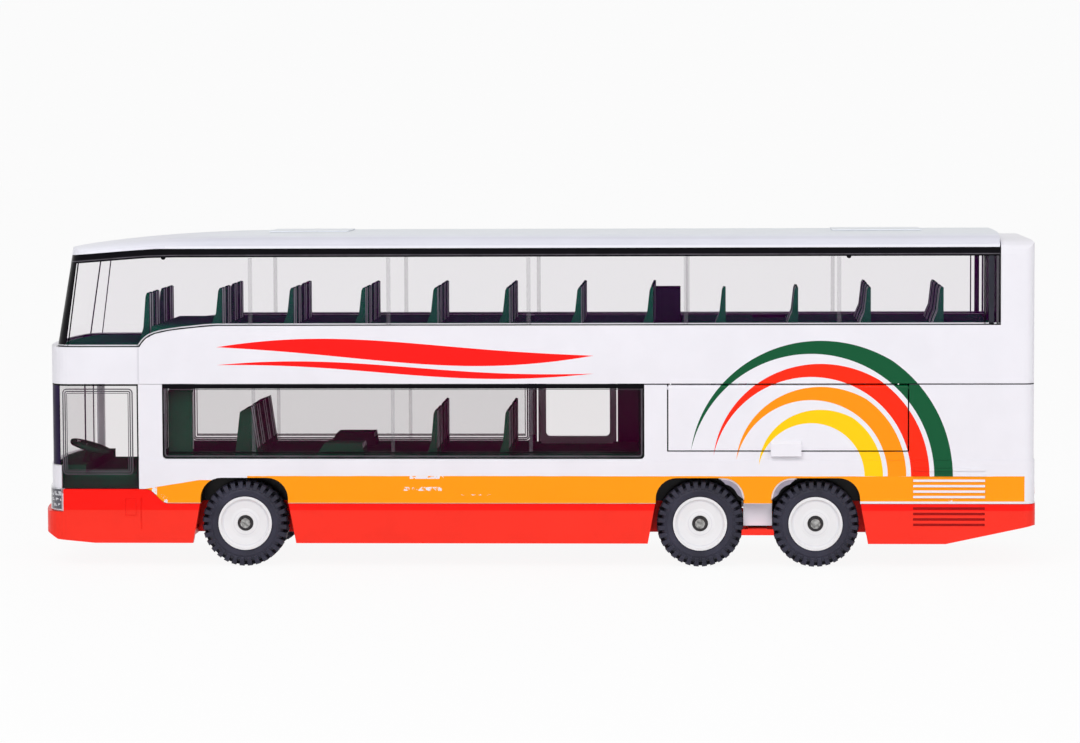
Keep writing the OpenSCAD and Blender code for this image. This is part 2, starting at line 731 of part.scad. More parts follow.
// ---------- Lamps and plates ----------

plate_low = rub_z + 16.4;           // lower edge of the rear number plate
lamp_z0 = bumper_z + 0.3;
lamp_z1 = cab_sill_z + 0.2;

module headlamp() {
  intersection() {
    difference() {
      body_slab(-0.37, lamp_z0, lamp_z1);
      body_slab(-0.02, 0, far);
    }
    box(nose_x + 0.5, far, hw - 12, far, 0, far);
  }
}

module headlamp_left() {
  color("silver") headlamp();
}

module headlamp_right() {
  color("silver") mirror([0, 1, 0]) headlamp();
}

module tail_lamps() {
  color("red") both_sides() intersection() {
    difference() {
      body_slab(-0.3, rub_z + 2, rub_z + 9);
      body_slab(0, 0, far);
    }
    box(-far, shell_rear + 1.2, hw - 6.2, hw - 3.2, 0, far);
  }
}

module number_plates() {
  color("white") {
    box(front_x - 1, front_x - 0.55, -6.5 + fit, 6.5 - fit, 7.75, 11.15);
    box(shell_rear + 0.1, shell_rear + 0.9, -6.5, 6.5, plate_low, plate_low + 3);
  }
}

// ---------- Wheels ----------

wheel_y = hw - 0.9 - tyre_w / 2;      // middle of a tyre
hub_w = tyre_w - 0.6;
head_t = 0.8;
hub_face = 1.1;                       // depth of the hub's dish
boss_len = wheel_y - hub_w / 2 - block_y - block_w / 2 - 0.2;   // keeps the hub off the axle block

module tyre(x, s) {
  translate([x, s * wheel_y, axle_z]) rotate([-90 * s, 0, 0]) color([0.08, 0.08, 0.1])
    translate([0, 0, -tyre_w / 2]) rotate_extrude($fn = 96) polygon([
      [rim_d / 2, 0.3], [tyre_r - 1.6, 0], [tyre_r - 0.5, 0.5], [tyre_r, 1.1],
      [tyre_r, tyre_w - 1.1], [tyre_r - 0.5, tyre_w - 0.5], [tyre_r - 1.6, tyre_w],
      [rim_d / 2, tyre_w - 0.3]]);
}

module hub(x, s) {
  translate([x, s * wheel_y, axle_z]) rotate([-90 * s, 0, 0]) color("white")
    translate([0, 0, -hub_w / 2]) rotate_extrude($fn = 96) polygon([
      [axle_d / 2 + run, -boss_len], [axle_head_d / 2 + 0.2, -boss_len], [axle_head_d / 2 + 0.2, 0],
      [rim_d / 2 - 1.4, 0], [rim_d / 2, 0.2], [rim_d / 2, hub_w], [rim_d / 2 - 0.5, hub_w], [rim_d / 2 - 0.9, hub_w - 0.45],
      [rim_d / 2 - 2.6, hub_w - 0.75], [axle_head_d / 2 + 0.75, hub_w - 0.6],
      [axle_head_d / 2 + 0.45, hub_w - hub_face + 0.45], [axle_head_d / 2 + 0.4, hub_w - hub_face],
      [axle_d / 2 + run, hub_w - hub_face]]);
}

module axle(x) {
  color("silver") translate([x, 0, axle_z]) {
    rotate([90, 0, 0]) cylinder(d = axle_d, h = 2 * (wheel_y + hub_w / 2 - hub_face), center = true, $fn = 48);
    for (s = [-1, 1])
      translate([0, s * (wheel_y + hub_w / 2 - hub_face + 0.1), 0]) rotate([-90 * s, 0, 0])
        rotate_extrude($fn = 48) polygon([
          [0, -0.2], [axle_d / 2, -0.2], [axle_d / 2, 0], [axle_head_d / 2, 0],
          [axle_head_d / 2, head_t - 0.25], [axle_head_d / 2 - 0.3, head_t], [0, head_t]]);
  }
}

// ---------- Doors and flaps ----------

leaf_t = wall;
pin_r = 0.4;
pin_len = 1.2;
edge_r = leaf_t / 2;
hinge_y = hw - belt_step - edge_r;    // distance of every hinge from the middle
front_hinge_x = cab_front - gap - edge_r;
mid_hinge_x = mid_front - gap - edge_r;
flap_hinge_z = seam_z - gap - edge_r;

// Door leaf on the right, hinged at its front edge, with an open window
module door(hinge_x, x_rear, z0, win_z) {
  top = seam_z - gap;
  difference() {
    union() {
      box(x_rear + gap, hinge_x, -hinge_y - edge_r, -hinge_y + edge_r, z0, top);
      translate([hinge_x, -hinge_y, z0]) cylinder(r = edge_r, h = top - z0, $fn = 48);
    }
    along_y(-far, 0) polygon(rounded(x_rear + gap + 1.5, hinge_x - 1.1, win_z, top - 1.5, 1));
  }
  translate([hinge_x, -hinge_y, top - 0.2]) cylinder(r = pin_r, h = gap + pin_len, $fn = 48);
  translate([hinge_x, -hinge_y, z0 - gap - pin_len + 0.2]) cylinder(r = pin_r, h = gap + pin_len, $fn = 48);
}

function rounded(x0, x1, z0, z1, r) = concat(
  arc(x1 - r, z1 - r, r, 0, 90, 5), arc(x0 + r, z1 - r, r, 90, 180, 5),
  arc(x0 + r, z0 + r, r, 180, 270, 5), arc(x1 - r, z0 + r, r, 270, 360, 5));

module front_door() {
  color("white") door(front_hinge_x, cab_end, cab_sill_z + gap, cab_sill_z + 1.6);
}

module middle_door() {
  color("white") door(mid_hinge_x, mid_rear, rub_z + gap, low_sill_z + 1.1);
}

tab_x = from_rear(54.4);
tab_len = 6.6;
module flap() {
  z0 = flap_z + gap;
  box(flap_rear + gap, flap_front - gap, hinge_y - edge_r, hinge_y + edge_r, z0, flap_hinge_z);
  translate([flap_rear + gap, hinge_y, flap_hinge_z]) rotate([0, 90, 0])
    cylinder(r = edge_r, h = flap_len - 2 * gap, $fn = 48);
  // hinge pins
  for (x = [flap_rear - pin_len + 0.2, flap_front - gap - 0.2])
    translate([x, hinge_y, flap_hinge_z]) rotate([0, 90, 0]) cylinder(r = pin_r, h = gap + pin_len, $fn = 48);
  // finger tab over the lower edge
  along_x(tab_x - tab_len / 2, tab_x + tab_len / 2) polygon([
    [hinge_y, z0 + 1.5], [hinge_y + edge_r, z0 + 2.2], [hw + 0.7, z0 + 1.4], [hw + 0.8, z0 - 1.2],
    [hw + 0.35, z0 - 1.3], [hw + 0.3, z0 + 0.1], [hinge_y, z0 + 0.1]]);
}

module luggage_flap_left() {
  color("white") flap();
}

module luggage_flap_right() {
  color("white") mirror([0, 1, 0]) flap();
}

// ---------- Nodes ----------

lower_shell();
upper_shell();
roof();
roof_hatches();
upper_glazing();
lower_windscreen();
left_side_glass();
right_side_glass();
rear_window();
upper_deck();
lower_deck();
steering_wheel();
chassis();
rivets();
headlamp_left();
headlamp_right();
tail_lamps();
number_plates();
axle(axles[0]);  // front_axle
axle(axles[1]);  // rear_axle
axle(axles[2]);  // tag_axle
tyre(axles[0], 1);  // tyre_front_left
tyre(axles[0], -1);  // tyre_front_right
tyre(axles[1], 1);  // tyre_rear_left
tyre(axles[1], -1);  // tyre_rear_right
tyre(axles[2], 1);  // tyre_tag_left
tyre(axles[2], -1);  // tyre_tag_right
hub(axles[0], 1);  // hub_front_left
hub(axles[0], -1);  // hub_front_right
hub(axles[1], 1);  // hub_rear_left
hub(axles[1], -1);  // hub_rear_right
hub(axles[2], 1);  // hub_tag_left
hub(axles[2], -1);  // hub_tag_right
luggage_flap_left();
luggage_flap_right();
front_door();
middle_door();
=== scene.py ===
import json
import math

import bmesh
import bpy
from mathutils import Matrix, Vector
from mathutils.bvhtree import BVHTree


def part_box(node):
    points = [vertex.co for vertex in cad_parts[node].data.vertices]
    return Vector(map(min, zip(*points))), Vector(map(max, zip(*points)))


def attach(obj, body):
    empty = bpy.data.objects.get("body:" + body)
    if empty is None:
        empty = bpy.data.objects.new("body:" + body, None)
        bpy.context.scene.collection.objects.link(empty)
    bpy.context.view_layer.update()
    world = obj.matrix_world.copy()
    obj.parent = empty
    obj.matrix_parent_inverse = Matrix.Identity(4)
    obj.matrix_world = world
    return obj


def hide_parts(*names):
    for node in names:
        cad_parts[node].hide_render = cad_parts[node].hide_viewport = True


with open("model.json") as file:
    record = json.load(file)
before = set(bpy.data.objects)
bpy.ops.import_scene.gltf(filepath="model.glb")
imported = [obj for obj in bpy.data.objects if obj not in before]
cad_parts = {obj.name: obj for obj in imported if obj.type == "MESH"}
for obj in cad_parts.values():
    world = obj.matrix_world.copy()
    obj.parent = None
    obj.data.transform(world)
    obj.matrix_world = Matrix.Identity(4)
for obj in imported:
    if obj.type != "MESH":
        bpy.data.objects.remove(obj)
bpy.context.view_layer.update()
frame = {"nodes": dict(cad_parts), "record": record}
nodes = frame["nodes"]
bodies = frame["record"]["behaviour"]["bodies"]
mm = 0.001
print("frame loaded:", len(nodes), "nodes")

# the castings' own outline, in millimetres
form = {
    "halfWidth": 23.0, "noseX": 107.8, "noseBulge": 2.8, "noseCorner": 5.0,
    "lean": 9.8, "leanFrom": 48.0, "leanBack": 1.3,  # upper front screen
    "glassInset": 0.3, "lift": 0.06,  # trims stand this far off the glass
    "rub": 13.9,
    "axles": (63.2, -36.0, -61.0), "axleZ": 9.4,
    "quarter": (85.9, 99.3),  # the flat side ahead of the joint
}
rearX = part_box("lower_shell")[0].x / mm
wallY = form["halfWidth"] - 1.1  # deeper than this is the inside of the castings
sillLine = [(-100.6, 52.6), (68.8, 52.6), (71.6, 52.45), (74.3, 52.15), (76.9, 51.9), (79.3, 51.55), (81.0, 51.25),
            (82.5, 50.85), (83.6, 50.4), (84.4, 49.85), (85.0, 49.25), (85.4, 48.7), (85.7, 48.3), (85.9, 48.02)]


roofEdge = {"frontX": 109.0, "height": 69.36, "drop": 2.1, "length": 27, "curve": 1.1}


def headZ(x):
    # lower edge of the roof, which drops towards the front
    back = (roofEdge["frontX"] - x) / roofEdge["length"]
    return roofEdge["height"] - (roofEdge["drop"] * (1 - back) ** roofEdge["curve"] if back < 1 else 0)


def noseSpot(turn, inset, z, leaning):
    # turn 0 is dead ahead, 90 square to the left side, -90 to the right
    f, t = form, math.radians(turn)
    big = (f["halfWidth"] ** 2 + f["noseBulge"] ** 2) / (2 * f["noseBulge"])
    cx, cy = f["noseX"] - big, f["halfWidth"] - f["noseCorner"]
    xc = cx + math.sqrt((big - f["noseCorner"]) ** 2 - cy ** 2)
    if abs(t) < math.atan2(cy, xc - cx):
        px, py = cx + (big - inset) * math.cos(t), (big - inset) * math.sin(t)
    else:
        r = f["noseCorner"] - inset
        px, py = xc + r * math.cos(t), math.copysign(cy, t) + r * math.sin(t)
    if leaning:
        a = math.radians(f["lean"])
        px = f["noseX"] - f["leanBack"] - (f["noseX"] - px) / math.cos(a) - (z - f["leanFrom"]) * math.tan(a)
    return Vector((px, py, z))


def onSide(x, z, inset, side):
    return Vector((x, side * (form["halfWidth"] - inset), z))


# a spot is (x, side) on a flat side, or (turn, 0) round the nose
def onGlass(spot, inset, z, leaning=True):
    value, side = spot
    return onSide(value, z, inset, side) if side else noseSpot(value, inset, z, leaning)


noseSteps = {"along": 6.0, "arc": 52}


def roundTheNose(xRear, xFront):
    # spots from the left side round the nose to the right side
    count = max(1, round((xFront - xRear) / noseSteps["along"]))
    left = [(xRear + (xFront - xRear) * i / count, 1) for i in range(count + 1)]
    arc = [(90 - 180 * i / noseSteps["arc"], 0) for i in range(noseSteps["arc"] + 1)]
    return left + arc + [(x, -1) for x, side in reversed(left)]


def newPiece(name, bm, body, mat, smooth=40):
    mesh = bpy.data.meshes.new(name)
    bmesh.ops.remove_doubles(bm, verts=bm.verts, dist=1e-7)
    bmesh.ops.recalc_face_normals(bm, faces=bm.faces)
    bm.to_mesh(mesh)
    bm.free()
    obj = bpy.data.objects.new(name, mesh)
    bpy.context.scene.collection.objects.link(obj)
    mesh.materials.append(mat)
    mesh.polygons.foreach_set("use_smooth", [True] * len(mesh.polygons))
    mesh.set_sharp_from_angle(angle=math.radians(smooth))
    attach(obj, body)
    return obj


def addSkin(bm, point, us, vs, outer, inner, closed=False):
    # a thin closed moulding: point(u, v, inset) gives its face and its back, in millimetres
    grid = [[[bm.verts.new(point(u, v, d) * mm) for v in vs] for u in us] for d in (outer, inner)]
    nu, nv = len(us), len(vs)
    for i in range(nu if closed else nu - 1):
        k = (i + 1) % nu
        for j in range(nv - 1):
            for g in grid:
                bm.faces.new((g[i][j], g[i][j + 1], g[k][j + 1], g[k][j]))
        for j in (0, nv - 1):
            bm.faces.new((grid[0][i][j], grid[1][i][j], grid[1][k][j], grid[0][k][j]))
    if not closed:
        for i in (0, nu - 1):
            for j in range(nv - 1):
                bm.faces.new((grid[0][i][j], grid[0][i][j + 1], grid[1][i][j + 1], grid[1][i][j]))


def addLathe(bm, profile, steps, matrix):
    # turns (radius, height) points about the matrix's Z axis
    rings = []
    for i in range(steps):
        a = 2 * math.pi * i / steps
        rings.append([bm.verts.new(matrix @ Vector((r * math.cos(a), r * math.sin(a), h))) for r, h in profile])
    n = len(profile)
    for i in range(steps):
        r, s = rings[i], rings[(i + 1) % steps]
        for k in range(n):
            bm.faces.new((r[k], r[(k + 1) % n], s[(k + 1) % n], s[k]))


def roundedLoop(x0, x1, z0, z1, radius, inset):
    # points round a rounded rectangle, drawn in by inset
    r = max(radius - inset, 0.05)
    loop = []
    for cx, cz, a0 in ((x1 - inset - r, z1 - inset - r, 0), (x0 + inset + r, z1 - inset - r, 90),
                       (x0 + inset + r, z0 + inset + r, 180), (x1 - inset - r, z0 + inset + r, 270)):
        for i in range(7):
            a = math.radians(a0 + 15 * i)
            loop.append((cx + r * math.cos(a), cz + r * math.sin(a)))
    return loop


def newMaterial(name, **sockets):
    mat = bpy.data.materials.new(name)
    mat.use_nodes = True
    tree = mat.node_tree
    shader = tree.nodes["Principled BSDF"]
    for socket, value in sockets.items():
        shader.inputs[socket.replace("_", " ")].default_value = value
    return mat, tree, shader


def mathNode(tree, op, *values):
    n = tree.nodes.new("ShaderNodeMath")
    n.operation = op
    for k, v in enumerate(values):
        if isinstance(v, (int, float)):
            n.inputs[k].default_value = v
        else:
            tree.links.new(v, n.inputs[k])
    return n.outputs[0]


def size(tree, value):
    return mathNode(tree, "ABSOLUTE", value)


def length(tree, a, b):
    squares = [mathNode(tree, "MULTIPLY", side, side) for side in (a, b)]
    return mathNode(tree, "SQRT", mathNode(tree, "ADD", *squares))


def allOf(tree, first, *others):
    for other in others:
        first = mathNode(tree, "MULTIPLY", first, other)
    return first


def anyOf(tree, first, *others):
    for other in others:
        first = mathNode(tree, "MAXIMUM", first, other)
    return first


def over(tree, value, edge):
    # a plain edge is in millimetres
    return mathNode(tree, "GREATER_THAN", value, edge * mm if isinstance(edge, (int, float)) else edge)


def under(tree, value, edge):
    return mathNode(tree, "LESS_THAN", value, edge * mm if isinstance(edge, (int, float)) else edge)


def between(tree, value, a, b):
    return allOf(tree, over(tree, value, a), under(tree, value, b))


def mixColour(tree, factor, a, b):
    n = tree.nodes.new("ShaderNodeMix")
    n.data_type = "RGBA"
    for socket, v in ((n.inputs["Factor"], factor), (n.inputs["A"], a), (n.inputs["B"], b)):
        if isinstance(v, tuple):
            socket.default_value = (*v[:3], 1)
        else:
            tree.links.new(v, socket)
    return n.outputs["Result"]


def place(tree):
    # the frame's own coordinates, in metres
    coords = tree.nodes.new("ShaderNodeTexCoord")
    split = tree.nodes.new("ShaderNodeSeparateXYZ")
    tree.links.new(coords.outputs["Object"], split.inputs[0])
    return coords.outputs["Object"], *split.outputs


def noise(tree, vector, scale, detail=3, rough=0.5):
    n = tree.nodes.new("ShaderNodeTexNoise")
    for socket, v in (("Scale", scale), ("Detail", detail), ("Roughness", rough)):
        n.inputs[socket].default_value = v
    tree.links.new(vector, n.inputs["Vector"])
    return n.outputs["Fac"]


def ramp(tree, value, lowIn, highIn, lowOut=0.0, highOut=1.0):
    n = tree.nodes.new("ShaderNodeMapRange")
    for k, v in zip(("From Min", "From Max", "To Min", "To Max"), (lowIn, highIn, lowOut, highOut)):
        n.inputs[k].default_value = v
    tree.links.new(value, n.inputs["Value"])
    return n.outputs["Result"]


def addBump(tree, shader, height, distance, strength=1.0):
    n = tree.nodes.new("ShaderNodeBump")
    n.inputs["Strength"].default_value = strength
    n.inputs["Distance"].default_value = distance
    tree.links.new(height, n.inputs["Height"])
    tree.links.new(n.outputs["Normal"], shader.inputs["Normal"])


def faded(colour, share):
    return tuple(share * c for c in colour)


def finish(name, colour, rough, cloudScale=90, cloud=0.96, grain=900, grainDepth=0.004, painter=None, **sockets):
    # shared recipe: cloudy colour, uneven gloss, fine grain
    mat, tree, shader = newMaterial(name, **sockets)
    where, x, y, z = place(tree)
    base = mixColour(tree, ramp(tree, noise(tree, where, cloudScale, 4), 0.35, 0.7), faded(colour, cloud), colour)
    if painter:
        base = painter(tree, base, where, x, y, z)
    tree.links.new(base, shader.inputs["Base Color"])
    smear = noise(tree, where, 240, 5, 0.6)
    tree.links.new(ramp(tree, smear, 0.3, 0.75, *rough), shader.inputs["Roughness"])
    addBump(tree, shader, noise(tree, where, grain, 2), grainDepth * mm, 0.5)
    return mat


paintLook = {
    # the roof colour is the white roof plastic darkened grey-blue as painted shade
    "white": (0.845, 0.83, 0.885), "roof": (0.70, 0.70, 0.78), "orange": (1.0, 0.33, 0.0), "red": (1.0, 0.030, 0.014),
    # the deeper red is the red of the skirt in painted shade
    "shadedRed": (0.98, 0.004, 0.0), "inside": (0.046, 0.048, 0.064), "insideUpper": (0.010, 0.012, 0.015),
    # the colours for the insides of the castings and of the wheel arches are painted shade
    "arch": (0.006, 0.005, 0.008),
    # the lavender white of the panel between the rear wheels is painted shade
    "panel": (0.90, 0.88, 0.96), "ribbon": (1.0, 0.004, 0.002),
    "swoosh": ((1.0, 0.62, 0.0), (1.0, 0.30, 0.0), (0.95, 0.02, 0.0), (0.0, 0.09, 0.03)),  # from the inside out
}

stripe = {
    "low": 14.0, "high": 19.9, "tipX": 85.4, "fullX": 73.0, "tipZ": 17.0, "fullZ": 19.0, "endX": -105.9,
    "wear": ((19.6, 28.6, 16.7, 17.5, 0.50), (19.6, 27.0, 19.3, 19.9, 0.47), (82.3, 83.4, 14.5, 17.6, 0.50),
             (80.0, 81.4, 14.0, 15.9, 0.53), (9.0, 17.0, 15.7, 15.9, 0.56), (-90.4, -89.6, 14.0, 14.8, 0.5)),
    "stepX": 62.5, "wobble": 0.2, "tailX": -70, "tailBare": 0.45, "louvreX": -80, "louvreY": 23.06,
}


def stripes(tree, base, where, x, y, z):
    # the orange band, pointed ahead of the front wheel, with chipped spots
    wobble = mathNode(tree, "MULTIPLY", mathNode(tree, "SUBTRACT", noise(tree, where, 160, 3), 0.5),
                      stripe["wobble"] * mm)
    top = ramp(tree, x, stripe["fullX"] * mm, stripe["tipX"] * mm, stripe["fullZ"] * mm, stripe["tipZ"] * mm)
    step = mathNode(tree, "MULTIPLY", under(tree, x, stripe["stepX"]), (stripe["high"] - stripe["fullZ"]) * mm)
    mask = allOf(tree, under(tree, mathNode(tree, "ADD", z, wobble), mathNode(tree, "ADD", step, top)),
                 over(tree, z, stripe["low"]), between(tree, x, stripe["endX"], stripe["tipX"]))
    # bare edge above the tail skirt
    chips = allOf(tree, under(tree, x, stripe["tailX"]), under(tree, z, stripe["low"] + stripe["tailBare"]))
    fleck = noise(tree, where, 900, 5, 0.7)
    for x0, x1, z0, z1, level in stripe["wear"]:
        spot = allOf(tree, between(tree, x, x0, x1), between(tree, z, z0, z1),
                     mathNode(tree, "GREATER_THAN", fleck, level))
        chips = anyOf(tree, chips, spot)
    louvre = allOf(tree, over(tree, size(tree, y), stripe["louvreY"]), under(tree, x, stripe["louvreX"]))
    chips = anyOf(tree, chips, louvre)
    mask = allOf(tree, mask, mathNode(tree, "SUBTRACT", 1.0, chips))
    return mixColour(tree, mask, base, paintLook["orange"])


swoosh = {"x": -60.0, "z": 19.9, "inner": 11.5, "pitch": 5.0, "bands": 4, "gap": 0.2, "fullTurn": 12, "lastTurn": 125}


def swooshBands(tree, base, x, z):
    # four bands that rise from the stripe at the rear and thin out as they come over to the front
    dx = mathNode(tree, "SUBTRACT", x, swoosh["x"] * mm)
    dz = mathNode(tree, "SUBTRACT", z, swoosh["z"] * mm)
    dist = length(tree, dx, dz)
    turn = mathNode(tree, "ARCTAN2", dz, dx)
    step = mathNode(tree, "DIVIDE", mathNode(tree, "SUBTRACT", dist, swoosh["inner"] * mm), swoosh["pitch"] * mm)
    part = mathNode(tree, "FRACT", step)
    full = ramp(tree, turn, math.radians(swoosh["fullTurn"]), math.radians(swoosh["lastTurn"]), 0.0,
                1.0 - swoosh["gap"])
    mask = allOf(tree, mathNode(tree, "GREATER_THAN", step, 0.0), mathNode(tree, "LESS_THAN", step, swoosh["bands"]),
                 mathNode(tree, "LESS_THAN", part, full), over(tree, dz, 0.0))
    colour = tree.nodes.new("ShaderNodeValToRGB")
    colour.color_ramp.interpolation = "CONSTANT"
    tints = paintLook["swoosh"]
    points = colour.color_ramp.elements
    for i, tint in enumerate(tints):
        point = points[i] if i < 2 else points.new(i / len(tints))
        point.position = i / len(tints)
        point.color = (*tint, 1)
    tree.links.new(mathNode(tree, "DIVIDE", step, swoosh["bands"]), colour.inputs[0])
    return mixColour(tree, mask, base, colour.outputs[0])


hollow = {
    "flatY": 18, "noseX": 101, "rearSkin": 2.1, "capZ": 69.6, "capX": -100,
    "slotX": (0.55, 1.2), "slotZ": (19.5, 28.5), "slotY": 12.5,
    "panelX": (-52.0, -45.0), "panelTop": 14.9, "panelY": 18.4, "panelShade": (8.5, 14.0),
    "archTop": 22, "upperFrom": 45, "jambX": (1.9, 3.8), "jambY": -20, "jambZ": 25,
}


def paintInsideShade(tree, base, x, y, z):
    # painted shade on the insides of the castings, darkest in the wheel arches, and in the rear slots
    deep = mathNode(tree, "MAXIMUM", mathNode(tree, "SUBTRACT", size(tree, y), hollow["flatY"] * mm), 0.0)
    ahead = mathNode(tree, "MAXIMUM", mathNode(tree, "SUBTRACT", x, hollow["noseX"] * mm), 0.0)
    cap = allOf(tree, over(tree, z, hollow["capZ"]), under(tree, x, hollow["capX"]))  # painted top of the rear casting
    inner = allOf(tree, under(tree, length(tree, deep, ahead), wallY - hollow["flatY"]),
                  over(tree, x, rearX + hollow["rearSkin"]), mathNode(tree, "SUBTRACT", 1.0, cap))
    slot = allOf(tree, between(tree, x, *(rearX + d for d in hollow["slotX"])), between(tree, z, *hollow["slotZ"]),
                 under(tree, size(tree, y), hollow["slotY"]))
    panel = allOf(tree, between(tree, x, *hollow["panelX"]), under(tree, z, hollow["panelTop"]),
                  over(tree, size(tree, y), hollow["panelY"]))
    dark = mixColour(tree, over(tree, z, hollow["archTop"]), paintLook["arch"], paintLook["inside"])
    dark = mixColour(tree, over(tree, z, hollow["upperFrom"]), dark, paintLook["insideUpper"])
    # pale jamb of the middle door: the white at 0.7, as painted half-shade
    jamb = allOf(tree, between(tree, x, *hollow["jambX"]), under(tree, y, hollow["jambY"]),
                 over(tree, z, hollow["jambZ"]))
    dark = mixColour(tree, jamb, dark, faded(paintLook["white"], 0.7))
    # painted shade on the panel between the rear wheels, darker towards the top
    shade = ramp(tree, z, *(edge * mm for edge in hollow["panelShade"]))
    dark = mixColour(tree, panel, dark, mixColour(tree, shade, paintLook["panel"], faded(paintLook["panel"], 0.8)))
    return mixColour(tree, anyOf(tree, inner, slot), base, dark)


joints = {
    # the seam colour is painted shade in the joint under the upper casting
    "skirtX": (-80, 90), "seamZ": 39.72, "seamX": -24, "seam": (0.03, 0.03, 0.04),
    "quarterX": (85.95, 86.2), "quarterZ": 47.6,
}


def lowerPaint(tree, base, where, x, y, z):
    base = swooshBands(tree, stripes(tree, base, where, x, y, z), x, z)
    # the red below the rub line takes the deeper red of painted shade
    below = allOf(tree, under(tree, z, form["rub"] - 0.05), between(tree, x, *joints["skirtX"]))
    base = mixColour(tree, below, base, paintLook["shadedRed"])
    seam = allOf(tree, over(tree, z, joints["seamZ"]), under(tree, x, joints["seamX"]))
    base = mixColour(tree, seam, base, joints["seam"])  # painted shade in the joint under the upper casting
    return paintInsideShade(tree, base, x, y, z)


ribbon = {
    "x": 28.0, "z": 46.9, "reach": 41.0, "thick": 2.2, "rise": 1.4, "second": 3.9, "secondShare": 0.38,
    "waveX": 30.0, "wave": 58.0,
}


def upperPaint(tree, base, where, x, y, z):
    # two plain ribbons along the upper band, and a line of painted shade in the joint behind the front quarter
    along = mathNode(tree, "SUBTRACT", x, ribbon["waveX"] * mm)
    wave = mathNode(tree, "SINE", mathNode(tree, "MULTIPLY", along, ribbon["wave"]))
    rise = mathNode(tree, "MULTIPLY", wave, ribbon["rise"] * mm)
    level = mathNode(tree, "SUBTRACT", z, mathNode(tree, "ADD", rise, ribbon["z"] * mm))
    far = size(tree, mathNode(tree, "SUBTRACT", x, ribbon["x"] * mm))
    taper = ramp(tree, far, 0.0, ribbon["reach"] * mm, 1.0, 0.0)
    swell = mathNode(tree, "MULTIPLY", taper, mathNode(tree, "SUBTRACT", 2.0, taper))
    thick = mathNode(tree, "MULTIPLY", swell, ribbon["thick"] * mm)
    broad = mathNode(tree, "LESS_THAN", size(tree, level), thick)
    below = size(tree, mathNode(tree, "ADD", level, ribbon["second"] * mm))
    thin = mathNode(tree, "LESS_THAN", below, mathNode(tree, "MULTIPLY", thick, ribbon["secondShare"]))
    base = mixColour(tree, anyOf(tree, broad, thin), base, paintLook["ribbon"])
    # painted shade along the crease behind the front quarter
    joint = allOf(tree, between(tree, x, *joints["quarterX"]), under(tree, z, joints["quarterZ"]))
    base = mixColour(tree, joint, base, faded(paintLook["white"], 0.86))
    return paintInsideShade(tree, swooshBands(tree, base, x, z), x, y, z)


def flapPaint(tree, base, where, x, y, z):
    # the bands run on across the flap
    return swooshBands(tree, base, x, z)


roofLook = {
    # painted highlights on the roof, and a painted shadow line at its rear end
    "crownZ": (71.6, 72.4), "crown": (0.80, 0.83, 0.88), "paleX": (70, 100), "pale": (0.84, 0.84, 0.91),
    "endX": -100.4, "end": (0.05, 0.05, 0.07),
    "gutterZ": (69.4, 69.95), "gutterX": (-101, 80), "gutter": (0.80, 0.80, 0.86),
}


def roofPaint(tree, base, where, x, y, z):
    # painted highlights: paler on top, at the front and along the gutter; a painted shadow line at the rear end
    base = mixColour(tree, ramp(tree, z, *(edge * mm for edge in roofLook["crownZ"])), base, roofLook["crown"])
    base = mixColour(tree, ramp(tree, x, *(edge * mm for edge in roofLook["paleX"])), base, roofLook["pale"])
    base = mixColour(tree, under(tree, x, roofLook["endX"]), base, roofLook["end"])
    gutter = allOf(tree, between(tree, z, *roofLook["gutterZ"]), between(tree, x, *roofLook["gutterX"]))
    return mixColour(tree, gutter, base, roofLook["gutter"])


skirtLook = {"band": 1.5, "slotY": (21.5, 22.85), "slotX": (-98, -81), "slot": (0.45, 0.0, 0.0)}


def skirtPaint(tree, base, where, x, y, z):
    # painted shade: deeper red along the rub strip, darker still in the rear slots
    base = mixColour(tree, over(tree, z, form["rub"] - skirtLook["band"]), base, paintLook["shadedRed"])
    slot = allOf(tree, between(tree, size(tree, y), *skirtLook["slotY"]), between(tree, x, *skirtLook["slotX"]))
    return mixColour(tree, slot, base, skirtLook["slot"])


gloss = {"Specular_IOR_Level": 0.2, "Coat_Weight": 0.06, "Coat_Roughness": 0.12}
whiteLower = finish("white_enamel_stripe", paintLook["white"], (0.28, 0.38), painter=lowerPaint, **gloss)
whiteUpper = finish("white_enamel_upper", paintLook["white"], (0.28, 0.38), painter=upperPaint, **gloss)
whiteFlap = finish("white_enamel_flap", paintLook["white"], (0.28, 0.38), painter=flapPaint, **gloss)
whitePlain = finish("white_enamel", paintLook["white"], (0.28, 0.38), **gloss)
roofPlastic = finish("roof_plastic", paintLook["roof"], (0.32, 0.42), painter=roofPaint, Specular_IOR_Level=0.3)
redPaint = finish("red_enamel", paintLook["red"], (0.30, 0.42), cloud=0.93, painter=skirtPaint, Specular_IOR_Level=0.22)
print("paints ready")


plasticLook = {
    "upperTint": (0.18, 0.0, 0.21), "upperAlpha": 0.052, "lowerTint": (0.13, 0.0, 0.055), "lowerAlpha": 0.112,
    "green": (0.0, 0.085, 0.046),
}


def clearPlastic(name, tint, alpha):
    # smoked styrene, with the faint clouding of a moulding
    mat, tree, shader = newMaterial(name, Roughness=0.05, IOR=1.49, Alpha=alpha, Specular_IOR_Level=0.1)
    where, x, y, z = place(tree)
    base = mixColour(tree, ramp(tree, noise(tree, where, 45, 3), 0.3, 0.7), faded(tint, 0.8), tint)
    tree.links.new(base, shader.inputs["Base Color"])
    addBump(tree, shader, noise(tree, where, 60, 2), 0.01 * mm, 0.4)
    return mat


seatLook = {
    # the pale and dark stripes on the seat backs are painted reflection and painted shade
    "steep": 0.8, "upperZ": 50, "lowerZ": (25.5, 38), "glintStripe": 3.1, "glintShare": 0.55, "pale": (0.62, 0.66, 0.68),
    "dark": (0.004, 0.010, 0.010), "casingX": (-31.9, -26.3),
}


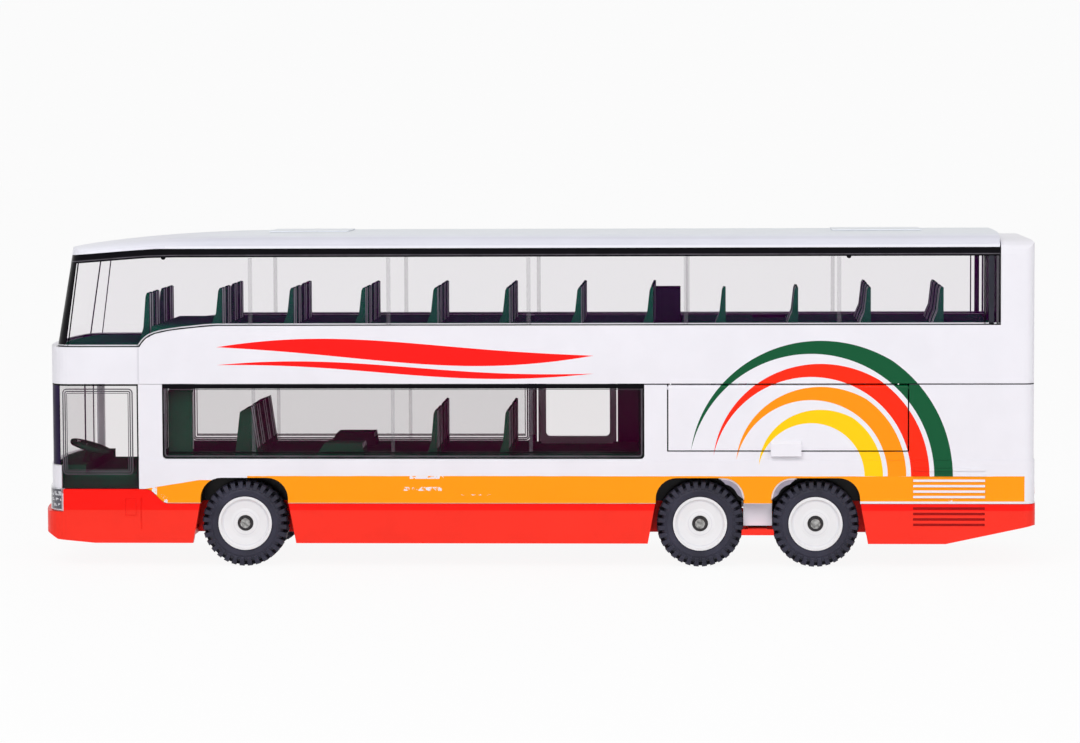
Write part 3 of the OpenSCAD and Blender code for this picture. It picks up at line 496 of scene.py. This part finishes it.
def seatPainter(tree, base, where, x, y, z):
    # seat backs striped in painted reflection and painted shade, and the dark casing of the stairs
    coords = tree.nodes.new("ShaderNodeTexCoord")
    split = tree.nodes.new("ShaderNodeSeparateXYZ")
    tree.links.new(coords.outputs["Normal"], split.inputs[0])
    upright = mathNode(tree, "GREATER_THAN", size(tree, split.outputs[0]), seatLook["steep"])
    upper = over(tree, z, seatLook["upperZ"])
    across = mathNode(tree, "DIVIDE", size(tree, y), seatLook["glintStripe"] * mm)
    glintStripe = mathNode(tree, "LESS_THAN", mathNode(tree, "FRACT", across), seatLook["glintShare"])
    back = mixColour(tree, glintStripe, seatLook["dark"], seatLook["pale"])
    seats = anyOf(tree, upper, between(tree, z, *seatLook["lowerZ"]))
    base = mixColour(tree, allOf(tree, upright, seats), base, back)
    casing = allOf(tree, between(tree, x, *seatLook["casingX"]), upper)
    return mixColour(tree, casing, base, seatLook["dark"])


def offAxle(tree, x, z):
    # distance from the nearest axle's line
    near = None
    for axle in form["axles"]:
        dx = mathNode(tree, "SUBTRACT", x, axle * mm)
        dz = mathNode(tree, "SUBTRACT", z, form["axleZ"] * mm)
        gap = length(tree, dx, dz)
        near = gap if near is None else mathNode(tree, "MINIMUM", near, gap)
    return near


hubLook = {
    "rings": (((4.78, 4.95), (0.74, 0.74, 0.79)), ((2.5, 2.62), (0.72, 0.72, 0.76))),
    "bore": 1.72, "gap": (0.07, 0.065, 0.07), "rivetRim": 1.08, "rivetY": 21.0, "rim": (0.06, 0.055, 0.06),
}


def hubPainter(tree, base, where, x, y, z):
    # painted shade: faint rings in the dish, and the dark gap round the axle end
    near = offAxle(tree, x, z)
    for ring, colour in hubLook["rings"]:
        base = mixColour(tree, between(tree, near, *ring), base, colour)
    return mixColour(tree, under(tree, near, hubLook["bore"]), base, hubLook["gap"])


def axlePainter(tree, base, where, x, y, z):
    # painted shade: dark rim of the riveted end
    rim = allOf(tree, over(tree, offAxle(tree, x, z), hubLook["rivetRim"]),
                over(tree, size(tree, y), hubLook["rivetY"]))
    return mixColour(tree, rim, base, hubLook["rim"])


headLook = {
    "bars": ((16.45, 16.95), (15.0, 15.55), (13.8, 14.4), (12.6, 13.2)), "facets": (12.9, 16.6),
    "dark": (0.05, 0.05, 0.07),
}


def lampPainter(tree, base, where, x, y, z):
    # moulded lens: dark bars between flecked facets
    bars = anyOf(tree, *(between(tree, z, *bar) for bar in headLook["bars"]))
    fleck = mathNode(tree, "GREATER_THAN", noise(tree, where, 1300, 1), 0.5)
    dark = anyOf(tree, bars, allOf(tree, fleck, between(tree, z, *headLook["facets"])))
    return mixColour(tree, dark, base, headLook["dark"])


# each finish: name, colour, range of roughness, cloud size and depth, grain size and depth
upperGlass = clearPlastic("smoked_upper", plasticLook["upperTint"], plasticLook["upperAlpha"])
lowerGlass = clearPlastic("smoked_lower", plasticLook["lowerTint"], plasticLook["lowerAlpha"])
ribGlass = clearPlastic("moulded_rib", (0.26, 0.24, 0.28), 0.15)
# a near-opaque pale strip: a painted glint on the glass bevel
sillGlint = clearPlastic("glass_glint_strip", (0.80, 0.80, 0.84), 0.85)
green = finish("green_styrene", plasticLook["green"], (0.36, 0.5), 120, 0.75, 700, 0.02, seatPainter,
               Specular_IOR_Level=0.0)
tyreRubber = finish("tyre_rubber", (0.036, 0.035, 0.060), (0.5, 0.68), 200, 0.6, 1500, 0.03, Specular_IOR_Level=0.3)
metal = finish("turned_steel", (0.62, 0.61, 0.60), (0.25, 0.42), 1400, 0.4, 2200, 0.03, Metallic=1.0)
axleMetal = finish("axle_steel", (0.62, 0.61, 0.60), (0.25, 0.42), 1400, 0.3, 2200, 0.03, axlePainter, Metallic=1.0)
blackTrim = finish("black_trim", (0.002, 0.0015, 0.004), (0.3, 0.42), 300, 0.6, 800, 0.005, Specular_IOR_Level=0.1)
greyTrim = finish("grey_trim", (0.10, 0.09, 0.11), (0.3, 0.45), 300, 0.6, 800, 0.005, Specular_IOR_Level=0.3)
slateShade = finish("slate_shade", (0.035, 0.036, 0.050), (0.3, 0.45), 400, 0.7, 800, 0.005, Specular_IOR_Level=0.15)
# violet-black painted darkness for the edges of the front screen seen edge-on
violetPaintedEdge = finish("screen_post", (0.016, 0.006, 0.045), (0.3, 0.45), 300, 0.7, 800, 0.005, Specular_IOR_Level=0.12)
# a darker copy of the red enamel, painted shade for the walls inside the arches
redShadedEnamel = finish("red_enamel_shaded", (0.85, 0.008, 0.004), (0.3, 0.42), Specular_IOR_Level=0.2)
# grey-violet painted shade for the lips of the white casting round the rear wheels
lipShade = finish("arch_lip", (0.36, 0.33, 0.42), (0.35, 0.5), 700, 0.75, 800, 0.005, Specular_IOR_Level=0.3)
headGlass = finish("headlamp_clear", (0.72, 0.73, 0.78), (0.08, 0.16), 900, 0.55, 900, 0.05, lampPainter,
                   Coat_Weight=0.6)
tailGlass = finish("tail_red_clear", (0.70, 0.004, 0.004), (0.1, 0.18), 700, 0.7, 1200, 0.05, Coat_Weight=0.6)
hubWhite = finish("hub_plastic", (0.83, 0.83, 0.85), (0.28, 0.4), painter=hubPainter, **gloss)

finishes = {
    whiteLower: ["lower_shell"], whiteUpper: ["upper_shell"], roofPlastic: ["roof", "roof_hatches"],
    upperGlass: ["upper_glazing", "rear_window"],
    lowerGlass: ["lower_windscreen", "left_side_glass", "right_side_glass"],
    green: ["upper_deck", "lower_deck", "steering_wheel"], redPaint: ["chassis"], metal: ["rivets"],
    headGlass: ["headlamp_left", "headlamp_right"], tailGlass: ["tail_lamps"],
    axleMetal: ["front_axle", "rear_axle", "tag_axle"], whiteFlap: ["luggage_flap_left", "luggage_flap_right"],
    whitePlain: ["front_door", "middle_door", "number_plates"],
    hubWhite: [n for n in nodes if n.startswith("hub")], tyreRubber: [n for n in nodes if n.startswith("tyre")],
}
for mat, names in finishes.items():
    for name in names:
        for slot in nodes[name].material_slots:
            slot.material = mat
print("finishes on the castings and mouldings")


tyreLook = {"lugs": 32, "groove": 1.0, "lugWidth": 0.30, "skew": 0.05}


def makeTyre(node, body):
    lo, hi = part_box(node)
    centre = (lo + hi) / 2
    side = 1 if centre.y > 0 else -1
    r, half = (hi.z - lo.z) / 2, (hi.y - lo.y) / 2
    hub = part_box(node.replace("tyre", "hub"))
    rim = (hub[1].z - hub[0].z) / 2
    turn = Matrix.Translation(centre) @ Matrix.Rotation(-math.pi / 2 * side, 4, "X")
    core = r - tyreLook["groove"] * mm
    bm = bmesh.new()
    # rounded sidewalls down to the rim, and the bottom of the tread
    profile = [(rim, 0.5 * mm - half), (rim + 0.35 * mm, 0.12 * mm - half), (rim + 1.2 * mm, -half),
               (core - 1.3 * mm, 0.05 * mm - half), (core - 0.5 * mm, 0.25 * mm - half), (core, 0.9 * mm - half)]
    addLathe(bm, profile + [(a, -b) for a, b in reversed(profile)], 96, turn)
    # two staggered rows of lugs that wrap over the shoulders
    step = 2 * math.pi / tyreLook["lugs"]
    section = [(r - 0.02 * mm, 0.10 * mm), (r - 0.02 * mm, half - 0.75 * mm), (r - 0.32 * mm, half - 0.30 * mm),
               (core - 0.75 * mm, half), (core - 1.25 * mm, half - 0.3 * mm), (core - 0.6 * mm, half - 0.9 * mm),
               (core - 0.3 * mm, 0.10 * mm)]
    for row, sgn in enumerate((-1, 1)):
        for i in range(tyreLook["lugs"]):
            ends = [[], []]
            for t, (rad, h) in enumerate(section):
                wide = tyreLook["lugWidth"] * step * (1.0 if t < 2 else 0.92)
                mid = (i + 0.5 * row) * step + tyreLook["skew"] * step * h / half
                for k in (0, 1):
                    a = mid + (2 * k - 1) * wide
                    ends[k].append(bm.verts.new(turn @ Vector((rad * math.cos(a), rad * math.sin(a), sgn * h))))
            n = len(section)
            for k in range(n):
                bm.faces.new((ends[0][k], ends[0][(k + 1) % n], ends[1][(k + 1) % n], ends[1][k]))
            bm.faces.new(ends[0][::-1])
            bm.faces.new(ends[1])
    mesh = newPiece(node + "_tread", bm, body, tyreRubber, 32)
    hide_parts(node)


for body, members in bodies.items():
    for node in members:
        if node.startswith("tyre"):
            makeTyre(node, body)
print("tyres made")


screenTrim = {
    "rear": -100.55, "noseStart": 95.9, "band": 1.85, "line": (1.28, 1.5),
    "pillarTurns": (8.0, 46.0, 57.0), "sill": (0.02, 0.27), "bevel": (0.27, 0.52),
    "ribs": (61.5, 31.4, 1.0, -33.0, -66.0), "ribWidth": 0.9,
    # the rear corner lines are painted shade where the glazing is seen edge-on
    "posts": ((-100.58, -100.3, "black"), (-100.2, -99.75, "grey"), (-99.2, -98.1, "slate"), (-97.4, -97.13, "black")),
    "hangFrom": 68.0, "clips": (80.4, -68.1), "clipSize": 0.55, "sillZ": 48.0, "postRise": 20, "postRows": 15, "postRow": 1.4,
    "rightLines": (-34.0, 7.0), "leftLines": (7.0,), "lineTurn": 2.0,  # the right post is clear between fine lines
    "ribZ": (52.75, 67.4), "cornerZ": (52.7, 60.0, 67.5), "back": 0.2,
}


def makeUpperTrim():
    cfg = screenTrim
    face, back = form["glassInset"] - form["lift"], form["glassInset"] + cfg["back"]
    ring = roundTheNose(cfg["rear"], cfg["noseStart"])

    def hang(spot, drop, inset):
        # measured down from the roof's edge, which depends on how far the screen leans
        z = cfg["hangFrom"]
        for _ in range(3):
            z = headZ(onGlass(spot, inset, z).x) - drop
        return onGlass(spot, inset, z)

    def clip(u, v, inset, x, side):
        # half-round tab under the band
        return hang((x + u, side), cfg["band"] - 0.05 + v * math.sqrt(max(0.0, cfg["clipSize"] ** 2 - u * u)), inset)

    bm = bmesh.new()
    addSkin(bm, hang, ring, (0.0, 0.6, 1.2, cfg["band"]), face, back)
    for side in (1, -1):
        for x in cfg["clips"]:
            addSkin(bm, lambda u, v, d, x=x, s=side: clip(u, v, d, x, s),
                    [cfg["clipSize"] * k / 5 for k in range(-5, 6)], (0.0, 1.0), face, back)
    newPiece("upper_window_band", bm, "coach", blackTrim)
    bm = bmesh.new()
    addSkin(bm, hang, ring, cfg["line"], face - 0.015, back)
    newPiece("upper_window_band_line", bm, "coach", greyTrim)

    # corner posts of the front screen, wider towards the sill
    bm = bmesh.new()
    rows = [cfg["sillZ"] + 0.02 + cfg["postRow"] * k for k in range(cfg["postRows"])]
    start, top, bottom = cfg["pillarTurns"]

    def edge(z):
        return bottom + (top - bottom) * (z - cfg["sillZ"]) / cfg["postRise"]

    addSkin(bm, lambda u, v, d: noseSpot(start + (edge(v) - start) * u, d, v, True), [k / 8 for k in range(9)],
            rows, face, back)
    for side, lines in ((1, cfg["leftLines"]), (-1, cfg["rightLines"])):
        for line in lines:
            addSkin(bm, lambda u, v, d, s=side, w=line: noseSpot(s * (edge(v) + w + u), d, v, True),
                    (0.0, cfg["lineTurn"]), rows, face, back)
    newPiece("front_screen_posts", bm, "coach", blackTrim)

    # seal along the upper casting's edge, and a painted glint on the glass bevel above it
    def alongSill(i, v, inset, side):
        (x0, z0), (x1, z1) = sillLine[max(i - 1, 0)], sillLine[min(i + 1, len(sillLine) - 1)]
        run = math.hypot(x1 - x0, z1 - z0)
        x, z = sillLine[i]
        return Vector((x - (z1 - z0) / run * v, side * (form["halfWidth"] - inset), z + (x1 - x0) / run * v))

    for name, edges, mat in (("upper_sill_seal", cfg["sill"], blackTrim),
                             ("upper_sill_glint", cfg["bevel"], sillGlint)):
        bm = bmesh.new()
        for side in (1, -1):
            addSkin(bm, lambda u, v, d, s=side: alongSill(u, v, d, s), range(len(sillLine)), edges, face, back)
        addSkin(bm, lambda spot, v, d: onGlass(spot, d, cfg["sillZ"] + v), roundTheNose(*form["quarter"]), edges,
                face, back)
        newPiece(name, bm, "coach", mat)

    # moulded ribs that divide the side panes
    bm = bmesh.new()
    for side in (1, -1):
        for x in cfg["ribs"]:
            for a, b in ((-0.5, -0.18), (-0.18, 0.18), (0.18, 0.5)):
                addSkin(bm, lambda u, v, d, s=side: onSide(u, v, d, s),
                        (x + a * cfg["ribWidth"], x + b * cfg["ribWidth"]), cfg["ribZ"],
                        face + (0.02 if a == -0.18 else 0.0), back - 0.1)
    newPiece("upper_window_ribs", bm, "coach", ribGlass)

    # stacked dark and grey lines of painted shade at the rear corner, where the glazing turns in edge-on
    for kind, mat in (("black", blackTrim), ("grey", greyTrim), ("slate", slateShade)):
        bm = bmesh.new()
        for side in (1, -1):
            for a, b, tone in cfg["posts"]:
                if tone == kind:
                    addSkin(bm, lambda u, v, d, s=side: onSide(u, v, d, s), (a, b), cfg["cornerZ"], face, back)
        newPiece("rear_corner_shade_lines_" + kind, bm, "coach", mat)


makeUpperTrim()
print("upper window trim made")


lowerTrim = {
    "low": 23.65, "high": 41.5, "seen": 39.9, "radius": 1.1, "top": (38.95, 39.93), "topLine": (38.7, 38.82),
    "black": ((0.0, 0.26), (1.0, 0.16)), "grey": ((0.38, 0.3),),  # seals, as inset and width; the grey line between the black ones is a painted highlight
    "sill": (24.9, 25.15), "ribs": (61.0, 30.6, 0.6), "ribWidth": 0.8, "ribZ": (23.95, 38.9), "back": 0.2,
    "cabEdge": (86.3, 86.57), "cabZ": (17.1, 39.9), "cabRing": (86.3, 99.4), "cabTop": (39.55, 39.92),
    "cabFrame": (87.45, 102.95, 20.1, 38.95), "cabRadius": 1.0, "cabLines": ((0.0, 0.24), (0.5, 0.22), (0.95, 0.12)),
    "posts": ((1, 8.0, 55.0), (-1, 20.0, 23.0), (-1, 53.0, 55.0)), "postZ": (22.3, 30.0, 39.6),
}


def makeLowerTrim():
    cfg = lowerTrim
    face, back = form["glassInset"] - form["lift"], form["glassInset"] + cfg["back"]
    sides = ((1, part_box("left_side_glass")), (-1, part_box("right_side_glass")))
    black, grey, ribs = bmesh.new(), bmesh.new(), bmesh.new()

    def openLoop(x0, x1, inset):
        # open at the top, where the pane runs up behind the upper casting
        loop = roundedLoop(x0, x1, cfg["low"], cfg["high"], cfg["radius"], inset)
        return [(x0 + inset, cfg["seen"])] + [p for p in loop if p[1] < 30] + [(x1 - inset, cfg["seen"])]

    for side, (lo, hi) in sides:
        x0, x1 = lo.x / mm, hi.x / mm

        def flat(u, v, d, side=side):
            return onSide(u, v, d, side)

        for seals, mesh in ((cfg["black"], black), (cfg["grey"], grey)):
            for cut, wide in seals:
                loops = [openLoop(x0, x1, cut), openLoop(x0, x1, cut + wide)]
                addSkin(mesh, lambda u, v, d: flat(*loops[v][u], d), range(len(loops[0])), (0, 1), face, back)
        # the black band at the top is painted shadow under the edge of the upper casting
        addSkin(black, flat, (x0 + 0.1, x1 - 0.1), cfg["top"], face - 0.01, back)
        addSkin(grey, flat, (x0 + 0.3, x1 - 0.3), cfg["topLine"], face - 0.01, back)
        addSkin(black, flat, (x0 + 1.0, x1 - 1.0), cfg["sill"], face - 0.005, back)
        for x in cfg["ribs"]:
            if x0 + 2 < x < x1 - 2:
                for a, b in ((-0.5, -0.2), (-0.2, 0.2), (0.2, 0.5)):
                    addSkin(ribs, flat, (x + a * cfg["ribWidth"], x + b * cfg["ribWidth"]), cfg["ribZ"],
                            face + (0.02 if a == -0.2 else 0.0), back - 0.1)

    # driver's window: black edge, grey frame that follows the rounded corner
    addSkin(black, lambda u, v, d: onSide(u, v, d, 1), cfg["cabEdge"], cfg["cabZ"], face, back)
    addSkin(black, lambda spot, v, d: onGlass(spot, d, v, False), roundTheNose(*cfg["cabRing"])[:-3], cfg["cabTop"],
            face, back)
    bend = noseSpot(90, 0, 0, False).x

    def roundCorner(x, z, d):
        r = form["noseCorner"] - d
        y = math.sqrt(max(0.0, r * r - max(0.0, x - bend) ** 2))
        return Vector((x, form["halfWidth"] - form["noseCorner"] + y, z))

    for cut, wide in cfg["cabLines"]:
        loops = [roundedLoop(*cfg["cabFrame"], cfg["cabRadius"], k) for k in (cut, cut + wide)]
        addSkin(grey, lambda u, v, d: roundCorner(*loops[v][u], d), range(len(loops[0])), (0, 1), face, back,
                closed=True)
    newPiece("lower_seals_and_shadow", black, "coach", blackTrim)
    newPiece("lower_window_lines", grey, "coach", greyTrim)
    newPiece("lower_window_ribs", ribs, "coach", ribGlass)

    # violet-black darkness painted at the corners of the front screen, where the clear moulding is seen edge-on; the
    # right one is clear between two fine lines
    bm = bmesh.new()
    for side, first, last in cfg["posts"]:
        turns = [side * (first + (last - first) * k / 8) for k in range(9)]
        addSkin(bm, lambda u, v, d: noseSpot(u, d, v, False), turns, cfg["postZ"], face, back)
    newPiece("lower_screen_painted_edges", bm, "coach", violetPaintedEdge)


makeLowerTrim()
print("lower window trim made")


rearTrim = {"box": (-16.95, 16.95, 56.15, 66.35), "radius": 1.4, "width": 0.9}


def makeRearTrim():
    # the seal is laid on the raked pane, found by probing it from behind
    pane = nodes["rear_window"].data
    tree = BVHTree.FromPolygons([v.co for v in pane.vertices], [p.vertices[:] for p in pane.polygons])

    def onPane(y, z, depth):
        hit = tree.ray_cast(Vector((-0.2, y * mm, z * mm)), Vector((1, 0, 0)))[0]
        if hit is None:
            hit = tree.find_nearest(Vector((rearX * mm, y * mm, z * mm)))[0]
        return Vector((hit.x / mm + depth, y, z))

    bm = bmesh.new()
    loops = [roundedLoop(*rearTrim["box"], rearTrim["radius"], k) for k in (0.03, rearTrim["width"])]
    addSkin(bm, lambda u, v, d: onPane(*loops[v][u], d), range(len(loops[0])), (0, 1), -form["lift"], 0.2, closed=True)
    newPiece("rear_window_seal", bm, "coach", blackTrim)


makeRearTrim()
print("rear window seal made")


archLook = {"half": 9.6, "top": 19.5, "radius": 4.6, "outerWidth": 0.35, "depth": 1.35, "inset": (0.35, 0.75)}


def makeArchLips():
    # rounded lips of the rear wheel openings, either side of the panel between the wheels: a white edge, then the lip
    # in grey-violet painted shade
    for name, edges, mat in (("rear_arch_edges", (0.0, archLook["outerWidth"]), whitePlain),
                             ("rear_arch_lips", (archLook["outerWidth"], archLook["depth"]), lipShade)):
        bm = bmesh.new()
        for side in (1, -1):
            for axle, way in ((form["axles"][1], -1), (form["axles"][2], 1)):
                cx = axle + way * (archLook["half"] - archLook["radius"])
                cz = archLook["top"] - archLook["radius"]

                def lip(turn, v, inset, cx=cx, cz=cz, way=way, s=side):
                    # the inner edge tapers away at both ends
                    taper = min(1.0, max(0.0, (turn + 4) / 20), max(0.0, (104 - turn) / 24))
                    reach = edges[0] + (edges[1] - edges[0]) * v
                    r = archLook["radius"] - 0.02 - reach * (taper if reach > archLook["outerWidth"] else 1.0)
                    a = math.radians(turn)
                    return Vector((cx + way * r * math.cos(a), s * (form["halfWidth"] - inset), cz + r * math.sin(a)))

                addSkin(bm, lip, [-2 + 105 * k / 14 for k in range(15)], (0.0, 0.5, 1.0),
                        archLook["inset"][0], archLook["inset"][1])
        newPiece(name, bm, "coach", mat)


makeArchLips()
print("arch lips made")


linerLook = {"reach": (7.6, 10.0, 12.4), "rows": (7.0, 10.0, 12.5, 14.6), "y": (15.75, 16.15), "slope": 0.12}


def makeArchLiners():
    # red inner walls that close the gap between each tyre and its opening, in a darker red of painted shade
    bm = bmesh.new()
    near, top = linerLook["reach"][0], linerLook["rows"][-1]
    front, rear, tag = form["axles"]
    for side in (1, -1):
        for axle, way in ((front, 1), (front, -1), (rear, 1), (tag, -1)):
            def wall(u, v, y):
                return Vector((axle + way * (u + linerLook["slope"] * (top - v) * (u > near)), side * y, v))
            addSkin(bm, wall, linerLook["reach"], linerLook["rows"], *linerLook["y"])
    newPiece("arch_liners", bm, "coach", redShadedEnamel)


makeArchLiners()
print("arch liners made")


lampLook = {"y": (16.8, 19.8), "z": (15.9, 22.9), "rearBulge": 0.8, "proud": 0.05, "ribs": 14, "ribDepth": 0.03}


def makeTailLamps():
    # ribbed lenses set nearly flush in the rear corners
    half, bulge = form["halfWidth"], lampLook["rearBulge"]
    big = (half * half + bulge * bulge) / (2 * bulge)
    bm = bmesh.new()
    z0, z1 = lampLook["z"]
    y0, y1 = lampLook["y"]
    count = lampLook["ribs"] * 4
    heights = [z0 + (z1 - z0) * k / count for k in range(count + 1)]
    for side in (1, -1):
        def lens(y, z, out, s=side):
            wave = lampLook["ribDepth"] * math.sin(2 * math.pi * lampLook["ribs"] * (z - z0) / (z1 - z0))
            edge = min(z - z0, z1 - z, y - y0, y1 - y) < 0.02
            x = rearX + big - math.sqrt(big * big - y * y) - (out if out < 0 or edge else out + wave)
            return Vector((x + 0.012 * (z - z0), s * y, z))
        addSkin(bm, lens, [y0 + (y1 - y0) * k / 6 for k in range(7)], heights, lampLook["proud"], -0.3)
    piece = newPiece("tail_lamp_lenses", bm, "coach", tailGlass, 60)
    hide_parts("tail_lamps")


makeTailLamps()
print("tail lamps made")


view = {"place": (-0.040184, 0.810128, 0.098305), "turn": 2.8176, "rise": 4.0393, "roll": -0.0042, "lens": 121.6667}


def makeCamera():
    cam = bpy.data.objects.new("camera", bpy.data.cameras.new("camera"))
    bpy.context.scene.collection.objects.link(cam)
    a, e = math.radians(view["turn"]), math.radians(view["rise"])
    back = Vector((-math.sin(a) * math.cos(e), math.cos(a) * math.cos(e), math.sin(e)))
    cam.rotation_mode = "QUATERNION"
    cam.rotation_quaternion = (-back).to_track_quat("-Z", "Y") @ Matrix.Rotation(view["roll"], 3, "Z").to_quaternion()
    cam.location = view["place"]
    cam.data.lens = view["lens"]
    cam.data.sensor_width = 36
    cam.data.clip_start, cam.data.clip_end = 0.02, 30
    bpy.context.scene.camera = cam


studio = {
    "world": 0.52, "floor": (0.9, 0.9, 0.91), "floorGlow": 0.92,
    "lamps": (("key", (0.25, 0.75, 0.75), (0.8, 0.5), 5.0), ("fill", (-0.55, 0.7, 0.35), (0.5, 0.5), 1.6)),
}


def makeLamp(name, where, size, power):
    data = bpy.data.lights.new(name, "AREA")
    data.shape = "RECTANGLE"
    data.size, data.size_y = size
    data.energy = power
    obj = bpy.data.objects.new(name, data)
    obj.location = where
    obj.rotation_mode = "QUATERNION"
    obj.rotation_quaternion = (Vector((0, 0, 0.04)) - Vector(where)).to_track_quat("-Z", "Y")
    bpy.context.scene.collection.objects.link(obj)


def makeFloor():
    # a floor that curves up into a backdrop: a pale glow over a surface that still takes the shadow
    profile = [(1.2, 0.0), (-0.9, 0.0), (-1.2, 0.06), (-1.4, 0.25), (-1.45, 0.6), (-1.45, 1.6)]
    bm = bmesh.new()
    rows = [[bm.verts.new((x, y, z)) for y, z in profile] for x in (-2.2, 2.2)]
    for k in range(len(profile) - 1):
        bm.faces.new((rows[0][k], rows[0][k + 1], rows[1][k + 1], rows[1][k]))
    mesh = bpy.data.meshes.new("floor")
    bm.to_mesh(mesh)
    bm.free()
    obj = bpy.data.objects.new("floor", mesh)
    bpy.context.scene.collection.objects.link(obj)
    mat, tree, shader = newMaterial("pale_floor", Base_Color=(*studio["floor"], 1), Roughness=0.55)
    glow = tree.nodes.new("ShaderNodeEmission")
    path = tree.nodes.new("ShaderNodeLightPath")
    seen = anyOf(tree, *(path.outputs[kind] for kind in ("Is Camera Ray", "Is Glossy Ray", "Is Transmission Ray")))
    mix = tree.nodes.new("ShaderNodeMixShader")
    tree.links.new(mathNode(tree, "MULTIPLY", seen, studio["floorGlow"]), mix.inputs[0])
    tree.links.new(shader.outputs[0], mix.inputs[1])
    tree.links.new(glow.outputs[0], mix.inputs[2])
    tree.links.new(mix.outputs[0], tree.nodes["Material Output"].inputs["Surface"])
    mesh.materials.append(mat)


def makeWorld():
    world = bpy.data.worlds.new("studio")
    bpy.context.scene.world = world
    world.use_nodes = True
    tree = world.node_tree
    back = tree.nodes["Background"]
    back.inputs["Color"].default_value = (1, 1, 1, 1)
    back.inputs["Strength"].default_value = studio["world"]
    seen = tree.nodes.new("ShaderNodeBackground")
    seen.inputs["Color"].default_value = (1, 1, 1, 1)
    path = tree.nodes.new("ShaderNodeLightPath")
    mix = tree.nodes.new("ShaderNodeMixShader")
    tree.links.new(path.outputs["Is Camera Ray"], mix.inputs[0])
    tree.links.new(back.outputs[0], mix.inputs[1])
    tree.links.new(seen.outputs[0], mix.inputs[2])
    tree.links.new(mix.outputs[0], tree.nodes["World Output"].inputs["Surface"])


makeCamera()
makeFloor()
makeWorld()
for lamp in studio["lamps"]:
    makeLamp(*lamp)
bpy.context.scene.view_settings.view_transform = "Standard"
print("stage ready")
